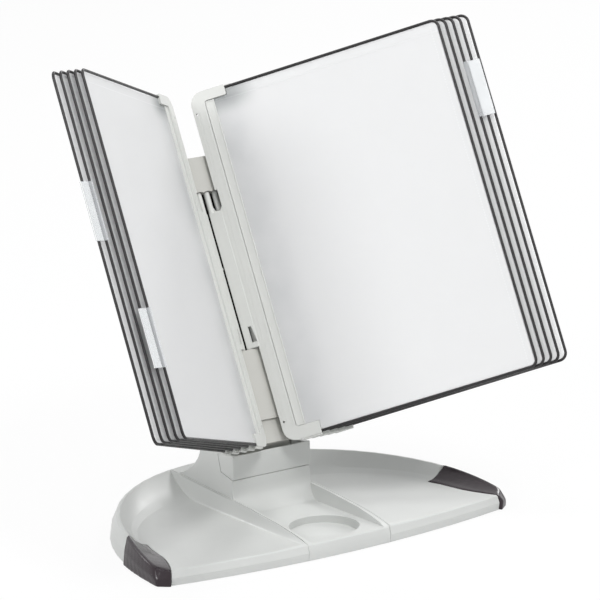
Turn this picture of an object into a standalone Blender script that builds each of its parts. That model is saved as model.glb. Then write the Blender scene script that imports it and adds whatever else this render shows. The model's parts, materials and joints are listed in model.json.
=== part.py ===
"""Desktop reference display stand: an organizer base, a tilting column and ten turning panels.

Lengths are metres, +Z is up and the front faces -Y. The base is laid out from a point a little in
front of the column, and the head from the row of panel hinges at the level of the lower wires.
"""
import math

import bmesh
import bpy
from mathutils import Matrix, Vector

# Clearances between pieces
GAP = 0.0003
CUT_OVERRUN = 0.002

# Base outline
BASE_HALF_LENGTH = 0.1731
BASE_DEPTH_SHARE = 1.117
OVAL_POWER_SHARE = 2.13
OVAL_CENTRE_Y = -0.0200
BASE_CENTRE_Y = -0.0676
FRONT_REACH = 0.0495
FRONT_RADIUS = 0.90
UNDERSIDE = 0.0005

# Rim, floor and dividers
RIM_LEAN = 0.0066
RIM_HEIGHT = 0.0207
CREST_HALF_WIDTH = 0.0016
OUTER_BULGE = 0.0013
SIDE_WALL_RUN = 0.0168
REAR_WALL_RUN = 0.0470
FLOOR_POWER_SHARE = 2.4
FLOOR_LIP_HEIGHT = 0.0142
FLOOR_FALL_SHARE = 0.055
LIP_BAND = 0.012
LIP_ROUND = 0.0026
LIP_LEAN = 0.0012
SEAM_X = 0.0408
DIVIDER_WALL = 0.0017
DIVIDER_SLANT = 0.003
DIVIDER_RUN = 0.150
DIVIDER_POWER_SHARE = 4.5

# Tray rings: share of the way from the floor's edge to the crest, and share of the rise made there
WALL_WAY_SHARES = (0.0, 0.25, 0.5, 0.75, 1.0)
WALL_POWER_SHARE = 1.9
OUTER_SHARES = ((0.93, 0.0), (0.5, 1.0), (0.0, 0.0))
DIVIDER_STOP_SHARES = (0.3, 0.6, 0.8, 0.9, 0.96, 1.0)
LIP_STOP_SHARES = (0.25, 0.5, 0.75, 1.0)
FLANK_STOP_SHARES = (0.25, 0.5, 0.75)
FLANK_SWEEP_SHARE = 1.5
SKIRT_SLICE_SHARES = (-1.0, -0.75, -0.5, -0.25, 0.0, 0.25, 0.5, 0.75, 1.0)

# Round well in the centre compartment
WELL_RADIUS = 0.0295
WELL_BEHIND_FRONT = 0.0385
WELL_BOTTOM = 0.0045

# End caps
CAP_SEAM_FOOT_Y = 0.0373
CAP_SEAM_SKEW_SHARE = 0.194
CAP_SEAM_LEAN_SHARE = 0.365
CAP_SEAM_LEVEL = 0.006
CAP_FLANK_Y = 0.0100
CAP_TIP_FOOT_INSET = 0.0090
CAP_TIP_CREST_INSET = 0.0002
CAP_TIP_CREST_HEIGHT = 0.0148
CAP_TIP_BACK = 0.0080
CAP_PROUD = 0.0026
CAP_UNDERSIDE = 0.0002
CAP_STEP = 0.0006
CAP_EDGE_ROUND = 0.0007
CAP_SLOPE_SHARES = (0.3, 0.6, 0.85)
CAP_HOLLOW_SHARE = 1.5
CAP_SWEEP_SHARE = 1.8
CAP_DIP_SHARE = 1.3
CAP_STATION_SHARES = (0.0, 0.12, 0.24, 0.36, 0.48, 0.60, 0.72, 0.84, 0.92, 0.97, 1.0)
CAP_TIP_ROUND_SHARES = (0.0, 0.0, 0.0, 0.0, 0.0, 0.0, 0.0, 0.0, 0.1, 0.4, 1.0)
CAP_SETTLE_STEPS = 4

# Pedestal and pivot housing
BLOCK_HALF_WIDTH = 0.0393
BLOCK_FRONT_Y = 0.0671
BLOCK_TOP_FRONT = 0.0580
BLOCK_TOP_REAR = 0.0500
BLOCK_DEPTH = 0.0505
BLOCK_FILLET = 0.020
HOUSING_SEAM_FRONT = 0.0365
HOUSING_SEAM_REAR = 0.0397
HOUSING_DEPTH_LOW = 0.0184
HOUSING_DEPTH_HIGH = 0.0230
HOUSING_FRONT_WALL = 0.0019
HOUSING_SIDE_WALL = 0.0048
HOUSING_BULGE = 0.0006
FLARE_TO_CREST = 0.0118
FLARE_POWER_SHARE = 1.5
FLARE_SINK = 0.0006

# Tilt joint
TILT_BEHIND_FRONT = 0.0115
TILT_HEIGHT = 0.0460
COLUMN_LEAN = math.radians(28.8)
SHAFT_RADIUS = 0.0030
SHAFT_END_WALL = 0.0020
EYE_RADIUS = 0.0070
EYE_HALF_WIDTH = 0.0220
WASHER_RADIUS = 0.0062
WASHER_THICKNESS = 0.0012
SPRING_WASHER_THICKNESS = 0.0009
NUT_ACROSS_CORNERS = 0.0120
NUT_THICKNESS = 0.0045
NUT_SIDES = 6

# Column, seen along its own length from the panels' lower wires
HINGE_ROW_FORWARD = 0.0192
HINGE_ROW_RISE = 0.0073
COLUMN_HALF_WIDTH = 0.0410
COLUMN_FRONT = 0.0048
COLUMN_BACK = 0.0220
COLUMN_FOOT = 0.0220
COLUMN_BACK_ROUND = 0.008
COLUMN_EDGE_ROUND = 0.0005
COLUMN_WALL = 0.0025
COVER_FRONT = 0.0035
COVER_TOP = 0.0830
COVER_EDGE_ROUND = 0.0025
CAP_FOOT = 0.2230
CAP_HEIGHT = 0.0320
CAP_CROWN = 0.0016
KNUCKLE_FRONT = 0.0079
KNUCKLE_BACK = 0.0205
KNUCKLE_HALF_WIDTH = 0.0320
KNUCKLE_SHOULDER = 0.0030

# Panel hinges
PANELS_PER_SIDE = 5
HINGE_PITCH = 0.0080
BARREL_RADIUS = 0.0026
BARREL_PIN_RADIUS = 0.0014
BARREL_PIN_LENGTH = 0.0050
ARCH_RADIUS = 0.0035
DOME_RADIUS = 0.0024

# Panels, measured across from the hinge and up from the lower wire
PANEL_ANGLE = math.radians(42.1)
PANEL_ANGLE_STEP = math.radians(0.3)
PANEL_REACH = 0.2310
PANEL_HEIGHT = 0.3060
WIRE_RADIUS = 0.0012
WIRE_CORNER = 0.0060
CLIP_OUTER = 0.0084
SPINE_WIDTH = 0.0121
ARM_LENGTH = 0.0320
CLIP_THICKNESS = 0.0040
CLIP_OVER_WIRE = 0.0025
CLIP_UNDER_WIRE = 0.0018
TOP_ARM_WIDTH = 0.0090
BOTTOM_ARM_WIDTH = 0.0108
CLIP_CORNER = 0.0110
CLIP_INNER_CORNER = 0.0020
CHANNEL_DEPTH = 0.0220
LEAF_THICKNESS = 0.0024
NOTCH_DEPTH = 0.0180
NOTCH_END = 0.0104
WINDOW_FOOT = 0.0900
WINDOW_HEIGHT = 0.0130
WINDOW_SHARES = ((0.0, 0.0), (1.0, 0.0), (0.62, 0.82), (0.42, 1.0), (0.14, 1.0), (0.0, 0.86))
WINDOW_START = 0.0042
WINDOW_WIDTH = 0.0042
RIVET_HOLE_RADIUS = 0.0010
RIVET_HOLE_IN = 0.0030
RIVET_HOLE_FROM_END = 0.0160
SLEEVE_THICKNESS = 0.0006
SLEEVE_TO_WIRE = 0.0006

# Index tabs
TAB_LENGTH = 0.0490
TAB_WIDTH = 0.0128
TAB_FINGER = 0.0004
TAB_POCKET = 0.0010
TAB_RING_WALL = 0.0008
TAB_LABEL_THICKNESS = 0.0004
TAB_SWIVEL = math.radians(18.0)
TAB_RING_OPENING = math.radians(42.0)
TAB_PLACES = (("R", 3, 0.2160), ("L", 4, 0.1650), ("L", 1, 0.0580))

# Feet
FOOT_RADIUS = 0.0080
FOOT_SEAT_DEPTH = 0.0015
FOOT_DRAFT = 0.0008
FRONT_FOOT_SIDE_INSET = 0.0225
FRONT_FOOT_Y = -0.012
REAR_FOOT_X = 0.085
REAR_FOOT_INSET = 0.0174
CENTRE_FOOT_FRONT_Y = -0.010

# Facets
ARC_STEPS = 11
FLARE_STEPS = 8
FILLET_STEPS = 6
WIRE_SIDES = 8
ROUND_SIDES = 12
SHADE_ANGLE = math.radians(35.0)


def remove_old_objects():
    for old in list(bpy.data.objects):
        bpy.data.objects.remove(old, do_unlink=True)


def plastic(name, colour, roughness, metallic, alpha):
    material = bpy.data.materials.new(name)
    material.use_nodes = True
    shader = material.node_tree.nodes["Principled BSDF"]
    shader.inputs["Base Color"].default_value = (*colour, 1.0)
    shader.inputs["Roughness"].default_value = roughness
    shader.inputs["Metallic"].default_value = metallic
    shader.inputs["Alpha"].default_value = alpha
    return material


def light_grey_plastic():
    return plastic("light_grey_plastic", (0.62, 0.63, 0.60), 0.42, 0.0, 1.0)


def dark_grey_plastic():
    return plastic("dark_grey_plastic", (0.075, 0.068, 0.072), 0.35, 0.0, 1.0)


def black_coated_wire():
    return plastic("black_coated_wire", (0.02, 0.02, 0.022), 0.35, 0.0, 1.0)


def frosted_film():
    return plastic("frosted_film", (0.82, 0.83, 0.85), 0.35, 0.0, 0.6)


def clear_holder():
    return plastic("clear_holder", (0.85, 0.87, 0.88), 0.15, 0.0, 0.45)


def white_paper():
    return plastic("white_paper", (0.86, 0.86, 0.84), 0.8, 0.0, 1.0)


def bare_steel():
    return plastic("bare_steel", (0.50, 0.50, 0.52), 0.3, 1.0, 1.0)


def black_rubber():
    return plastic("black_rubber", (0.03, 0.03, 0.03), 0.8, 0.0, 1.0)


def frame_empty(name, parent, place, turn):
    """An empty that carries pieces: its place and turn are in its parent's frame."""
    empty = bpy.data.objects.new(name, None)
    bpy.context.collection.objects.link(empty)
    empty.parent = parent
    empty.location = place
    empty.rotation_euler = turn
    return empty


def add_piece(name, mesh, material, parent):
    """One named solid in its parent's frame, shaded smooth between its sharp edges."""
    piece = bpy.data.objects.new(name, mesh)
    bpy.context.collection.objects.link(piece)
    piece.parent = parent
    if not mesh.materials:
        mesh.materials.append(material)
        mesh.shade_smooth()
        mesh.set_sharp_from_angle(angle=SHADE_ANGLE)
    return piece


def finished_mesh(name, bm):
    bmesh.ops.recalc_face_normals(bm, faces=bm.faces)
    mesh = bpy.data.meshes.new(name)
    bm.to_mesh(mesh)
    bm.free()
    return mesh


def loft(name, rings):
    """A closed body through rings of the same count, with its two ends filled."""
    bm = bmesh.new()
    rows = [[bm.verts.new(point) for point in ring] for ring in rings]
    count = len(rows[0])
    for low, high in zip(rows, rows[1:]):
        for step in range(count):
            after = (step + 1) % count
            bm.faces.new((low[step], low[after], high[after], high[step]))
    bm.faces.new(reversed(rows[0]))
    bm.faces.new(rows[-1])
    return finished_mesh(name, bm)


def prism(name, outline, axis, start, end):
    """An outline drawn square to an axis and extruded along it."""
    place = {
        "X": lambda a, b, along: (along, a, b),
        "Y": lambda a, b, along: (a, along, b),
        "Z": lambda a, b, along: (a, b, along),
    }[axis]
    return loft(name, [[place(a, b, along) for a, b in outline] for along in (start, end)])


def turned(name, profile, sides):
    """A body turned about Z from (radius, height) pairs, with flat ends."""
    rings = []
    for radius, height in profile:
        angles = [math.tau * side / sides for side in range(sides)]
        rings.append([(radius * math.cos(a), radius * math.sin(a), height) for a in angles])
    return loft(name, rings)


def moved(mesh, matrix):
    copy = mesh.copy()
    copy.transform(matrix)
    return copy


def together(name, meshes):
    """Several separate shells in one mesh, for a single cut."""
    bm = bmesh.new()
    for mesh in meshes:
        bm.from_mesh(mesh)
    return finished_mesh(name, bm)


def combined(body, tools, operation):
    """The body's mesh after each tool mesh is joined to it or cut from it."""
    scene_objects = bpy.context.collection.objects
    holder = bpy.data.objects.new("body_in_work", body)
    scene_objects.link(holder)
    helpers = []
    for tool in tools:
        helper = bpy.data.objects.new("tool_in_work", tool)
        scene_objects.link(helper)
        helpers.append(helper)
        modifier = holder.modifiers.new("shape", "BOOLEAN")
        modifier.operation = operation
        modifier.solver = "EXACT"
        modifier.object = helper
    bpy.context.view_layer.update()
    depsgraph = bpy.context.evaluated_depsgraph_get()
    result = bpy.data.meshes.new_from_object(holder.evaluated_get(depsgraph))
    for helper in [holder] + helpers:
        bpy.data.objects.remove(helper)
    return result


def joined(body, tools):
    return combined(body, tools, "UNION")


def cut(body, tools):
    return combined(body, tools, "DIFFERENCE")


def mix(start, end, share):
    return start + (end - start) * share


def arc_points(centre_a, centre_b, radius, first_angle, last_angle, steps):
    """Points on an arc in a drawing plane, both ends included."""
    points = []
    for step in range(steps + 1):
        angle = mix(first_angle, last_angle, step / steps)
        points.append((centre_a + radius * math.cos(angle), centre_b + radius * math.sin(angle)))
    return points


def front_y(x):
    """The base's front edge, a shallow arc."""
    return -FRONT_REACH + FRONT_RADIUS - math.sqrt(FRONT_RADIUS ** 2 - x ** 2)


def ground_oval():
    """The base's outline on the desk: half length, half depth and the power that squares it."""
    return (BASE_HALF_LENGTH, BASE_HALF_LENGTH * BASE_DEPTH_SHARE, OVAL_POWER_SHARE)


def grown(oval, amount):
    return (oval[0] + amount, oval[1] + amount, oval[2])


def crest_oval():
    return grown(ground_oval(), -RIM_LEAN)


def floor_oval():
    """The flat floor's outline, inside the rim by the run of its walls."""
    crest = crest_oval()
    return (crest[0] - SIDE_WALL_RUN, crest[1] - REAR_WALL_RUN, FLOOR_POWER_SHARE)


def oval_x(oval, y):
    half_x, half_y, power = oval
    left = 1.0 - (abs(y - OVAL_CENTRE_Y) / half_y) ** power
    return half_x * max(left, 0.0) ** (1.0 / power)


def oval_y(oval, x):
    half_x, half_y, power = oval
    left = 1.0 - (abs(x) / half_x) ** power
    return OVAL_CENTRE_Y + half_y * max(left, 0.0) ** (1.0 / power)


def oval_arc(oval, side_y, seam_x, steps):
    """Points of an oval from its side, at a place along, to a seam at a place across."""
    half_x, half_y, power = oval
    first = math.asin(((side_y - OVAL_CENTRE_Y) / half_y) ** (power / 2))
    last = math.acos((seam_x / half_x) ** (power / 2))
    points = []
    for step in range(steps + 1):
        angle = mix(first, last, step / steps)
        x = half_x * math.cos(angle) ** (2 / power)
        points.append((x, OVAL_CENTRE_Y + half_y * math.sin(angle) ** (2 / power)))
    return points


def floor_height(y):
    """The trays' floor, which falls from the front lip to the rear."""
    return FLOOR_LIP_HEIGHT - FLOOR_FALL_SHARE * (y + FRONT_REACH)


def divider_top(y):
    """The dividers' upper edge, from the lip up to the rim."""
    way = min(max((y + FRONT_REACH) / DIVIDER_RUN, 0.0), 1.0)
    rise = 1.0 - (1.0 - way) ** DIVIDER_POWER_SHARE
    return mix(FLOOR_LIP_HEIGHT, RIM_HEIGHT, rise)


def cap_tip_foot_x():
    return BASE_HALF_LENGTH - CAP_TIP_FOOT_INSET


def cap_tip_crest_x():
    return BASE_HALF_LENGTH - CAP_TIP_CREST_INSET


def tray_ring_measures():
    """For each ring of a tray: its oval, tip, divider line, lip line, rise and outer drop."""
    seam_face = SEAM_X + GAP / 2
    wall_face = seam_face + DIVIDER_WALL
    floor, crest_inner = floor_oval(), grown(crest_oval(), -CREST_HALF_WIDTH)
    rings = []
    for way in WALL_WAY_SHARES:
        rings.append({
            "oval": tuple(mix(low, high, way) for low, high in zip(floor, crest_inner)),
            "tip_x": mix(cap_tip_foot_x(), cap_tip_crest_x(), way),
            "seam_x": mix(wall_face + DIVIDER_SLANT, wall_face, way),
            "lip_in": mix(LIP_BAND, LIP_LEAN + LIP_ROUND, way),
            "rise": way ** WALL_POWER_SHARE,
            "drop": None,
        })
    rings.append({
        "oval": crest_oval(), "tip_x": cap_tip_crest_x() + CREST_HALF_WIDTH / 2,
        "seam_x": seam_face + DIVIDER_WALL / 2, "lip_in": LIP_LEAN + LIP_ROUND / 2, "rise": 1.0, "drop": None,
    })
    for drop, bulge in OUTER_SHARES:
        way = drop / OUTER_SHARES[0][0]
        rings.append({
            "oval": grown(ground_oval(), (CREST_HALF_WIDTH - RIM_LEAN) * way + OUTER_BULGE * bulge),
            "tip_x": mix(BASE_HALF_LENGTH, cap_tip_crest_x() + CREST_HALF_WIDTH, drop),
            "seam_x": seam_face, "lip_in": LIP_LEAN * drop - OUTER_BULGE * bulge,
            "rise": None, "drop": drop,
        })
    return rings


def tray_point(ring, x, y, crest):
    """A ring's point over a place in the plan, under the crest height there."""
    if ring["drop"] is None:
        floor = floor_height(y)
        return (x, y, mix(floor, crest, ring["rise"]))
    return (x, y, mix(UNDERSIDE, crest, ring["drop"]))


def flank_x(side_x, tip_x, share):
    """Across the flank, which sweeps out from the oval's side to the tip at share zero."""
    return mix(side_x, tip_x, (1.0 - share) ** FLANK_SWEEP_SHARE)


def tray_ring_points(ring):
    """One closed ring of the right tray: rim, divider, front lip and flank in turn."""
    oval, seam_x = ring["oval"], ring["seam_x"]
    arc = oval_arc(oval, CAP_FLANK_Y, seam_x, ARC_STEPS)
    points = [tray_point(ring, x, y, RIM_HEIGHT) for x, y in arc]
    rear, front = points[-1][1], front_y(seam_x) + ring["lip_in"]
    for share in DIVIDER_STOP_SHARES:
        y = mix(rear, front, share)
        points.append(tray_point(ring, seam_x, y, divider_top(y)))
    for share in LIP_STOP_SHARES:
        x = mix(seam_x, ring["tip_x"], share)
        y = front_y(x) + ring["lip_in"]
        points.append(tray_point(ring, x, y, floor_height(y)))
    side_x, tip = points[0][0], points[-1]
    for share in FLANK_STOP_SHARES:
        y = mix(tip[1], CAP_FLANK_Y, share)
        crest = mix(floor_height(tip[1]), RIM_HEIGHT, share)
        points.append(tray_point(ring, flank_x(side_x, tip[0], share), y, crest))
    return points


def cap_foot_line(y):
    """Where the end cap meets the floor: its place across at a place along."""
    if y >= CAP_FLANK_Y:
        return oval_x(floor_oval(), y)
    tip_x = cap_tip_foot_x()
    share = (y - front_y(tip_x)) / (CAP_FLANK_Y - front_y(tip_x))
    return flank_x(oval_x(floor_oval(), CAP_FLANK_Y), tip_x, share)


def cap_seam_y(x, z):
    """The leaning plane in which the end cap meets the rim."""
    foot_x = cap_foot_line(CAP_SEAM_FOOT_Y)
    skew = CAP_SEAM_SKEW_SHARE * (x - foot_x)
    return CAP_SEAM_FOOT_Y - skew + CAP_SEAM_LEAN_SHARE * (z - CAP_SEAM_LEVEL)


def cap_room():
    """The corner that the end cap takes out of the tray."""
    beyond = BASE_HALF_LENGTH + CAP_TIP_BACK
    tip_y = front_y(cap_tip_foot_x())
    rings = []
    for z in (-CUT_OVERRUN, RIM_HEIGHT + CUT_OVERRUN):
        seam_y = cap_seam_y(cap_foot_line(CAP_SEAM_FOOT_Y), z)
        stops = [tip_y - CAP_TIP_BACK, tip_y]
        stops += [mix(tip_y, CAP_FLANK_Y, share) for share in FLANK_STOP_SHARES]
        stops += [CAP_FLANK_Y, mix(CAP_FLANK_Y, seam_y, 0.5), seam_y]
        plan = [(cap_foot_line(y), y) for y in stops]
        plan.append((beyond, cap_seam_y(beyond, z)))
        plan.append((beyond, tip_y - CAP_TIP_BACK))
        rings.append([(x, y, z) for x, y in plan])
    return loft("cap_room", rings)


def foot_seat(x, y):
    """The round recess that holds a rubber foot."""
    radius = FOOT_RADIUS + GAP
    seat = turned("foot_seat", ((radius, 0.0), (radius, UNDERSIDE + FOOT_SEAT_DEPTH)), ROUND_SIDES * 2)
    return moved(seat, Matrix.Translation((x, y, 0.0)))


def tray_foot_places():
    """The two feet of the right tray: near its outer end and under its rear rim."""
    rear_y = oval_y(crest_oval(), REAR_FOOT_X) - REAR_FOOT_INSET
    return ((floor_oval()[0] - FRONT_FOOT_SIDE_INSET, FRONT_FOOT_Y), (REAR_FOOT_X, rear_y))


def centre_foot_ys():
    """The middle feet: under the front, under the knuckle and under the rear rim."""
    return (CENTRE_FOOT_FRONT_Y, -BASE_CENTRE_Y, oval_y(crest_oval(), 0.0) - REAR_FOOT_INSET)


def tray_mesh():
    """The right tray: a bowl that is open at the front, less its end cap's corner."""
    rings = [tray_ring_points(ring) for ring in tray_ring_measures()]
    tray = loft("tray", rings)
    return cut(tray, [cap_room()] + [foot_seat(x, y) for x, y in tray_foot_places()])


def on_cap(share, end_y, place):
    """A point of the end cap between its seam and its tip, where place gives x and z from y."""
    seam_gap = GAP * math.hypot(1.0, CAP_SEAM_LEAN_SHARE)
    y = mix(CAP_SEAM_FOOT_Y, end_y, share)
    for _ in range(CAP_SETTLE_STEPS):
        x, z = place(y)
        y = mix(cap_seam_y(x, z) - seam_gap, end_y, share)
    return (x, y, z)


def end_cap_section(share, rounding):
    """One slice of the right end cap, from its seam with the rim to its tip."""
    tip_y = front_y(cap_tip_foot_x())
    crest_y = tip_y + CAP_TIP_BACK
    inset = CAP_TIP_BACK * rounding / 3
    sweep = 1.0 - (1.0 - share) ** CAP_SWEEP_SHARE
    crest_x = mix(oval_x(crest_oval(), CAP_SEAM_FOOT_Y), cap_tip_crest_x(), sweep)
    crest_z = mix(RIM_HEIGHT + CAP_STEP, CAP_TIP_CREST_HEIGHT, share ** CAP_DIP_SHARE) - inset / 2
    ground = grown(ground_oval(), CAP_PROUD)

    def foot(y):
        return (cap_foot_line(y) + GAP, floor_height(y) + CAP_STEP - inset / 3)

    def under(y):
        return (cap_foot_line(y) + GAP, CAP_UNDERSIDE)

    def slope(way):
        def place(y):
            foot_x, foot_z = foot(y)
            return (mix(foot_x, crest_x, way), mix(foot_z, crest_z, way ** CAP_HOLLOW_SHARE))
        return place

    def crest_in(y):
        return (crest_x - CREST_HALF_WIDTH / 2 - inset / 2, crest_z)

    def crest_out(y):
        return (crest_x + CREST_HALF_WIDTH - inset, crest_z - CREST_HALF_WIDTH / 2)

    def edge(y):
        return (oval_x(ground, max(y, OVAL_CENTRE_Y)) - inset / 2, CAP_UNDERSIDE)

    def flank(y):
        out_x = crest_out(y)[0]
        return (mix(out_x, edge(y)[0], 0.5) + OUTER_BULGE, mix(crest_z, CAP_UNDERSIDE, 0.5))

    ring = [on_cap(share, tip_y - CAP_PROUD, under), on_cap(share, tip_y, foot)]
    ring += [on_cap(share, mix(tip_y, crest_y, way), slope(way)) for way in CAP_SLOPE_SHARES]
    ring += [on_cap(share, crest_y, crest_in), on_cap(share, crest_y, crest_out)]
    ring += [on_cap(share, mix(crest_y, tip_y, 0.5), flank), on_cap(share, tip_y - CAP_PROUD, edge)]
    return ring


def end_cap_mesh():
    stations = zip(CAP_STATION_SHARES, CAP_TIP_ROUND_SHARES)
    return loft("end_cap", [end_cap_section(share, rounding) for share, rounding in stations])


def skirt_section(x):
    """The centre moulding's outline from front to rear at one place across, before it is hollowed."""
    front, rear, crest = front_y(x), oval_y(ground_oval(), x), oval_y(crest_oval(), x)
    lip = front + LIP_LEAN
    outline = [(front, UNDERSIDE)]
    outline.append((mix(front, lip, 0.5) - OUTER_BULGE, mix(UNDERSIDE, FLOOR_LIP_HEIGHT, 0.5)))
    outline.append((lip, mix(UNDERSIDE, FLOOR_LIP_HEIGHT, OUTER_SHARES[0][0])))
    outline.append((lip + LIP_ROUND / 2, FLOOR_LIP_HEIGHT))
    for share in reversed(DIVIDER_STOP_SHARES[:-1]):
        y = mix(crest, lip, share)
        outline.append((y, divider_top(y)))
    outline.append((crest - CREST_HALF_WIDTH, RIM_HEIGHT))
    outline.append((crest, RIM_HEIGHT - CREST_HALF_WIDTH / 8))
    outline.append((crest + CREST_HALF_WIDTH, mix(UNDERSIDE, RIM_HEIGHT, OUTER_SHARES[0][0])))
    outline.append((mix(crest, rear, 0.5) + OUTER_BULGE, mix(UNDERSIDE, RIM_HEIGHT, 0.5)))
    outline.append((rear, UNDERSIDE))
    return [(x, y, z) for y, z in outline]


def compartment():
    """The hollow between the centre moulding's two dividers, open at the front."""
    wall_face = SEAM_X - GAP / 2 - DIVIDER_WALL
    front, back = -FRONT_REACH - LIP_BAND, BLOCK_FRONT_Y
    rings = []
    for half_width, height in ((wall_face - DIVIDER_SLANT, None), (wall_face, RIM_HEIGHT),
                               (wall_face, RIM_HEIGHT + CUT_OVERRUN)):
        plan = ((-half_width, front), (half_width, front), (half_width, back), (-half_width, back))
        rings.append([(x, y, floor_height(y) if height is None else height) for x, y in plan])
    return loft("compartment", rings)


def housing_seam():
    """The seam between the pivot housing and the moulding that it stands in, front to rear."""
    return (
        (BLOCK_FRONT_Y, HOUSING_SEAM_FRONT),
        (BLOCK_FRONT_Y + HOUSING_DEPTH_LOW, HOUSING_SEAM_REAR),
        (BLOCK_FRONT_Y + HOUSING_DEPTH_HIGH, block_top(BLOCK_FRONT_Y + HOUSING_DEPTH_HIGH)),
    )


def block_top(y):
    """The block's upper face, which falls to the rear."""
    return mix(BLOCK_TOP_FRONT, BLOCK_TOP_REAR, (y - BLOCK_FRONT_Y) / BLOCK_DEPTH)


def pedestal_mesh():
    """The block under and behind the housing, filleted to the floor and flared to the rim."""
    foot_y = BLOCK_FRONT_Y - BLOCK_FILLET
    fillet_top = floor_height(BLOCK_FRONT_Y) + BLOCK_FILLET
    outline = [(foot_y, UNDERSIDE + FOOT_SEAT_DEPTH)]
    outline += arc_points(foot_y, fillet_top, BLOCK_FILLET, -math.pi / 2, 0.0, FILLET_STEPS)
    seam = housing_seam()
    outline.append((seam[0][0], seam[0][1] - GAP))
    outline.append((seam[1][0] + GAP, seam[1][1] - GAP))
    outline.append((seam[2][0] + GAP, seam[2][1]))
    rear = BLOCK_FRONT_Y + BLOCK_DEPTH
    flare_end = oval_y(crest_oval(), 0.0) - FLARE_TO_CREST
    flare_length = flare_end - rear
    flare_fall = BLOCK_TOP_REAR - RIM_HEIGHT + FLARE_SINK
    power = 2.0 / FLARE_POWER_SHARE
    for step in range(FLARE_STEPS + 1):
        angle = math.pi / 2 * step / FLARE_STEPS
        along = flare_end - flare_length * max(math.cos(angle), 0.0) ** power
        outline.append((along, BLOCK_TOP_REAR - flare_fall * math.sin(angle) ** power))
    outline.append((flare_end, UNDERSIDE + FOOT_SEAT_DEPTH))
    return prism("pedestal", outline, "X", -BLOCK_HALF_WIDTH, BLOCK_HALF_WIDTH)


def well_mesh():
    profile = ((WELL_RADIUS, WELL_BOTTOM), (WELL_RADIUS, RIM_HEIGHT))
    well = turned("well", profile, ROUND_SIDES * 3)
    return moved(well, Matrix.Translation((0.0, WELL_BEHIND_FRONT - FRONT_REACH, 0.0)))


def base_centre_mesh():
    half_width = SEAM_X - GAP / 2
    skirt = loft("skirt", [skirt_section(half_width * share) for share in SKIRT_SLICE_SHARES])
    hollowed = cut(skirt, [compartment()])
    moulding = joined(hollowed, [pedestal_mesh()])
    seats = [foot_seat(0.0, y) for y in centre_foot_ys()]
    return cut(moulding, [well_mesh()] + seats)


def housing_mesh():
    """A shell with its top and rear open for the knuckle and blind bores for the shaft."""
    seam = housing_seam()
    middle = mix(HOUSING_SEAM_FRONT, BLOCK_TOP_FRONT, 0.5)
    outline = [seam[0], (BLOCK_FRONT_Y - HOUSING_BULGE, middle), (BLOCK_FRONT_Y, BLOCK_TOP_FRONT)]
    outline += [seam[2], seam[1]]
    shell = prism("pivot_housing", outline, "X", -BLOCK_HALF_WIDTH, BLOCK_HALF_WIDTH)
    room_half = BLOCK_HALF_WIDTH - HOUSING_SIDE_WALL
    low, high = HOUSING_SEAM_FRONT - CUT_OVERRUN, BLOCK_TOP_FRONT + CUT_OVERRUN
    front = BLOCK_FRONT_Y + HOUSING_FRONT_WALL
    back = BLOCK_FRONT_Y + HOUSING_DEPTH_HIGH + CUT_OVERRUN
    room = prism("room", ((front, low), (front, high), (back, high), (back, low)), "X", -room_half, room_half)
    bore_half = BLOCK_HALF_WIDTH - SHAFT_END_WALL
    bore = on_tilt_axis(turned("bore", rod(SHAFT_RADIUS + GAP, -bore_half, bore_half), ROUND_SIDES))
    return cut(shell, [room, bore])


def rod(radius, start, end):
    return ((radius, start), (radius, end))


def on_tilt_axis(mesh):
    """A body turned about Z laid along X on the tilt axis, in the base's frame."""
    place = Matrix.Translation((0.0, BLOCK_FRONT_Y + TILT_BEHIND_FRONT, TILT_HEIGHT))
    return moved(mesh, place @ Matrix.Rotation(math.pi / 2, 4, "Y"))


def ring_mesh(name, outer, inner, start, end, outer_sides):
    """A washer or nut about Z, with a round bore."""
    blank = turned(name, rod(outer, start, end), outer_sides)
    bore = turned("bore", rod(inner, start - CUT_OVERRUN, end + CUT_OVERRUN), ROUND_SIDES)
    return cut(blank, [bore])


def knuckle_mesh():
    """The column's foot: an eye on the shaft under a wide neck."""
    eye_y, eye_z = HINGE_ROW_FORWARD, -HINGE_ROW_RISE
    neck = ((KNUCKLE_FRONT, KNUCKLE_SHOULDER), (KNUCKLE_BACK, KNUCKLE_SHOULDER),
            (KNUCKLE_BACK, COLUMN_FOOT - GAP), (KNUCKLE_FRONT, COLUMN_FOOT - GAP))
    neck_block = prism("tilt_knuckle", neck, "X", -KNUCKLE_HALF_WIDTH, KNUCKLE_HALF_WIDTH)
    web_top = mix(KNUCKLE_SHOULDER, COLUMN_FOOT, 0.5)
    web = [(KNUCKLE_BACK - GAP, web_top), (KNUCKLE_FRONT + GAP, web_top), (KNUCKLE_FRONT + GAP, KNUCKLE_SHOULDER)]
    web += arc_points(eye_y, eye_z, EYE_RADIUS, -math.pi, math.pi / 4, ROUND_SIDES)
    web_block = prism("web", web, "X", -EYE_HALF_WIDTH, EYE_HALF_WIDTH)
    reach = EYE_HALF_WIDTH + CUT_OVERRUN
    bore = turned("bore", rod(SHAFT_RADIUS + GAP, -reach, reach), ROUND_SIDES)
    place = Matrix.Translation((0.0, eye_y, eye_z)) @ Matrix.Rotation(math.pi / 2, 4, "Y")
    return cut(joined(neck_block, [web_block]), [moved(bore, place)])


def rounded_section(half_width, front, back, front_round, back_round):
    """A column section in plan with its four corners rounded, front towards -Y."""
    steps = 3
    section = arc_points(-half_width + front_round, -front + front_round, front_round,
                         -math.pi, -math.pi / 2, steps)
    section += arc_points(half_width - front_round, -front + front_round, front_round,
                          -math.pi / 2, 0.0, steps)
    section += arc_points(half_width - back_round, back - back_round, back_round, 0.0, math.pi / 2, steps)
    section += arc_points(-half_width + back_round, back - back_round, back_round,
                          math.pi / 2, math.pi, steps)
    return section


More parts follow.
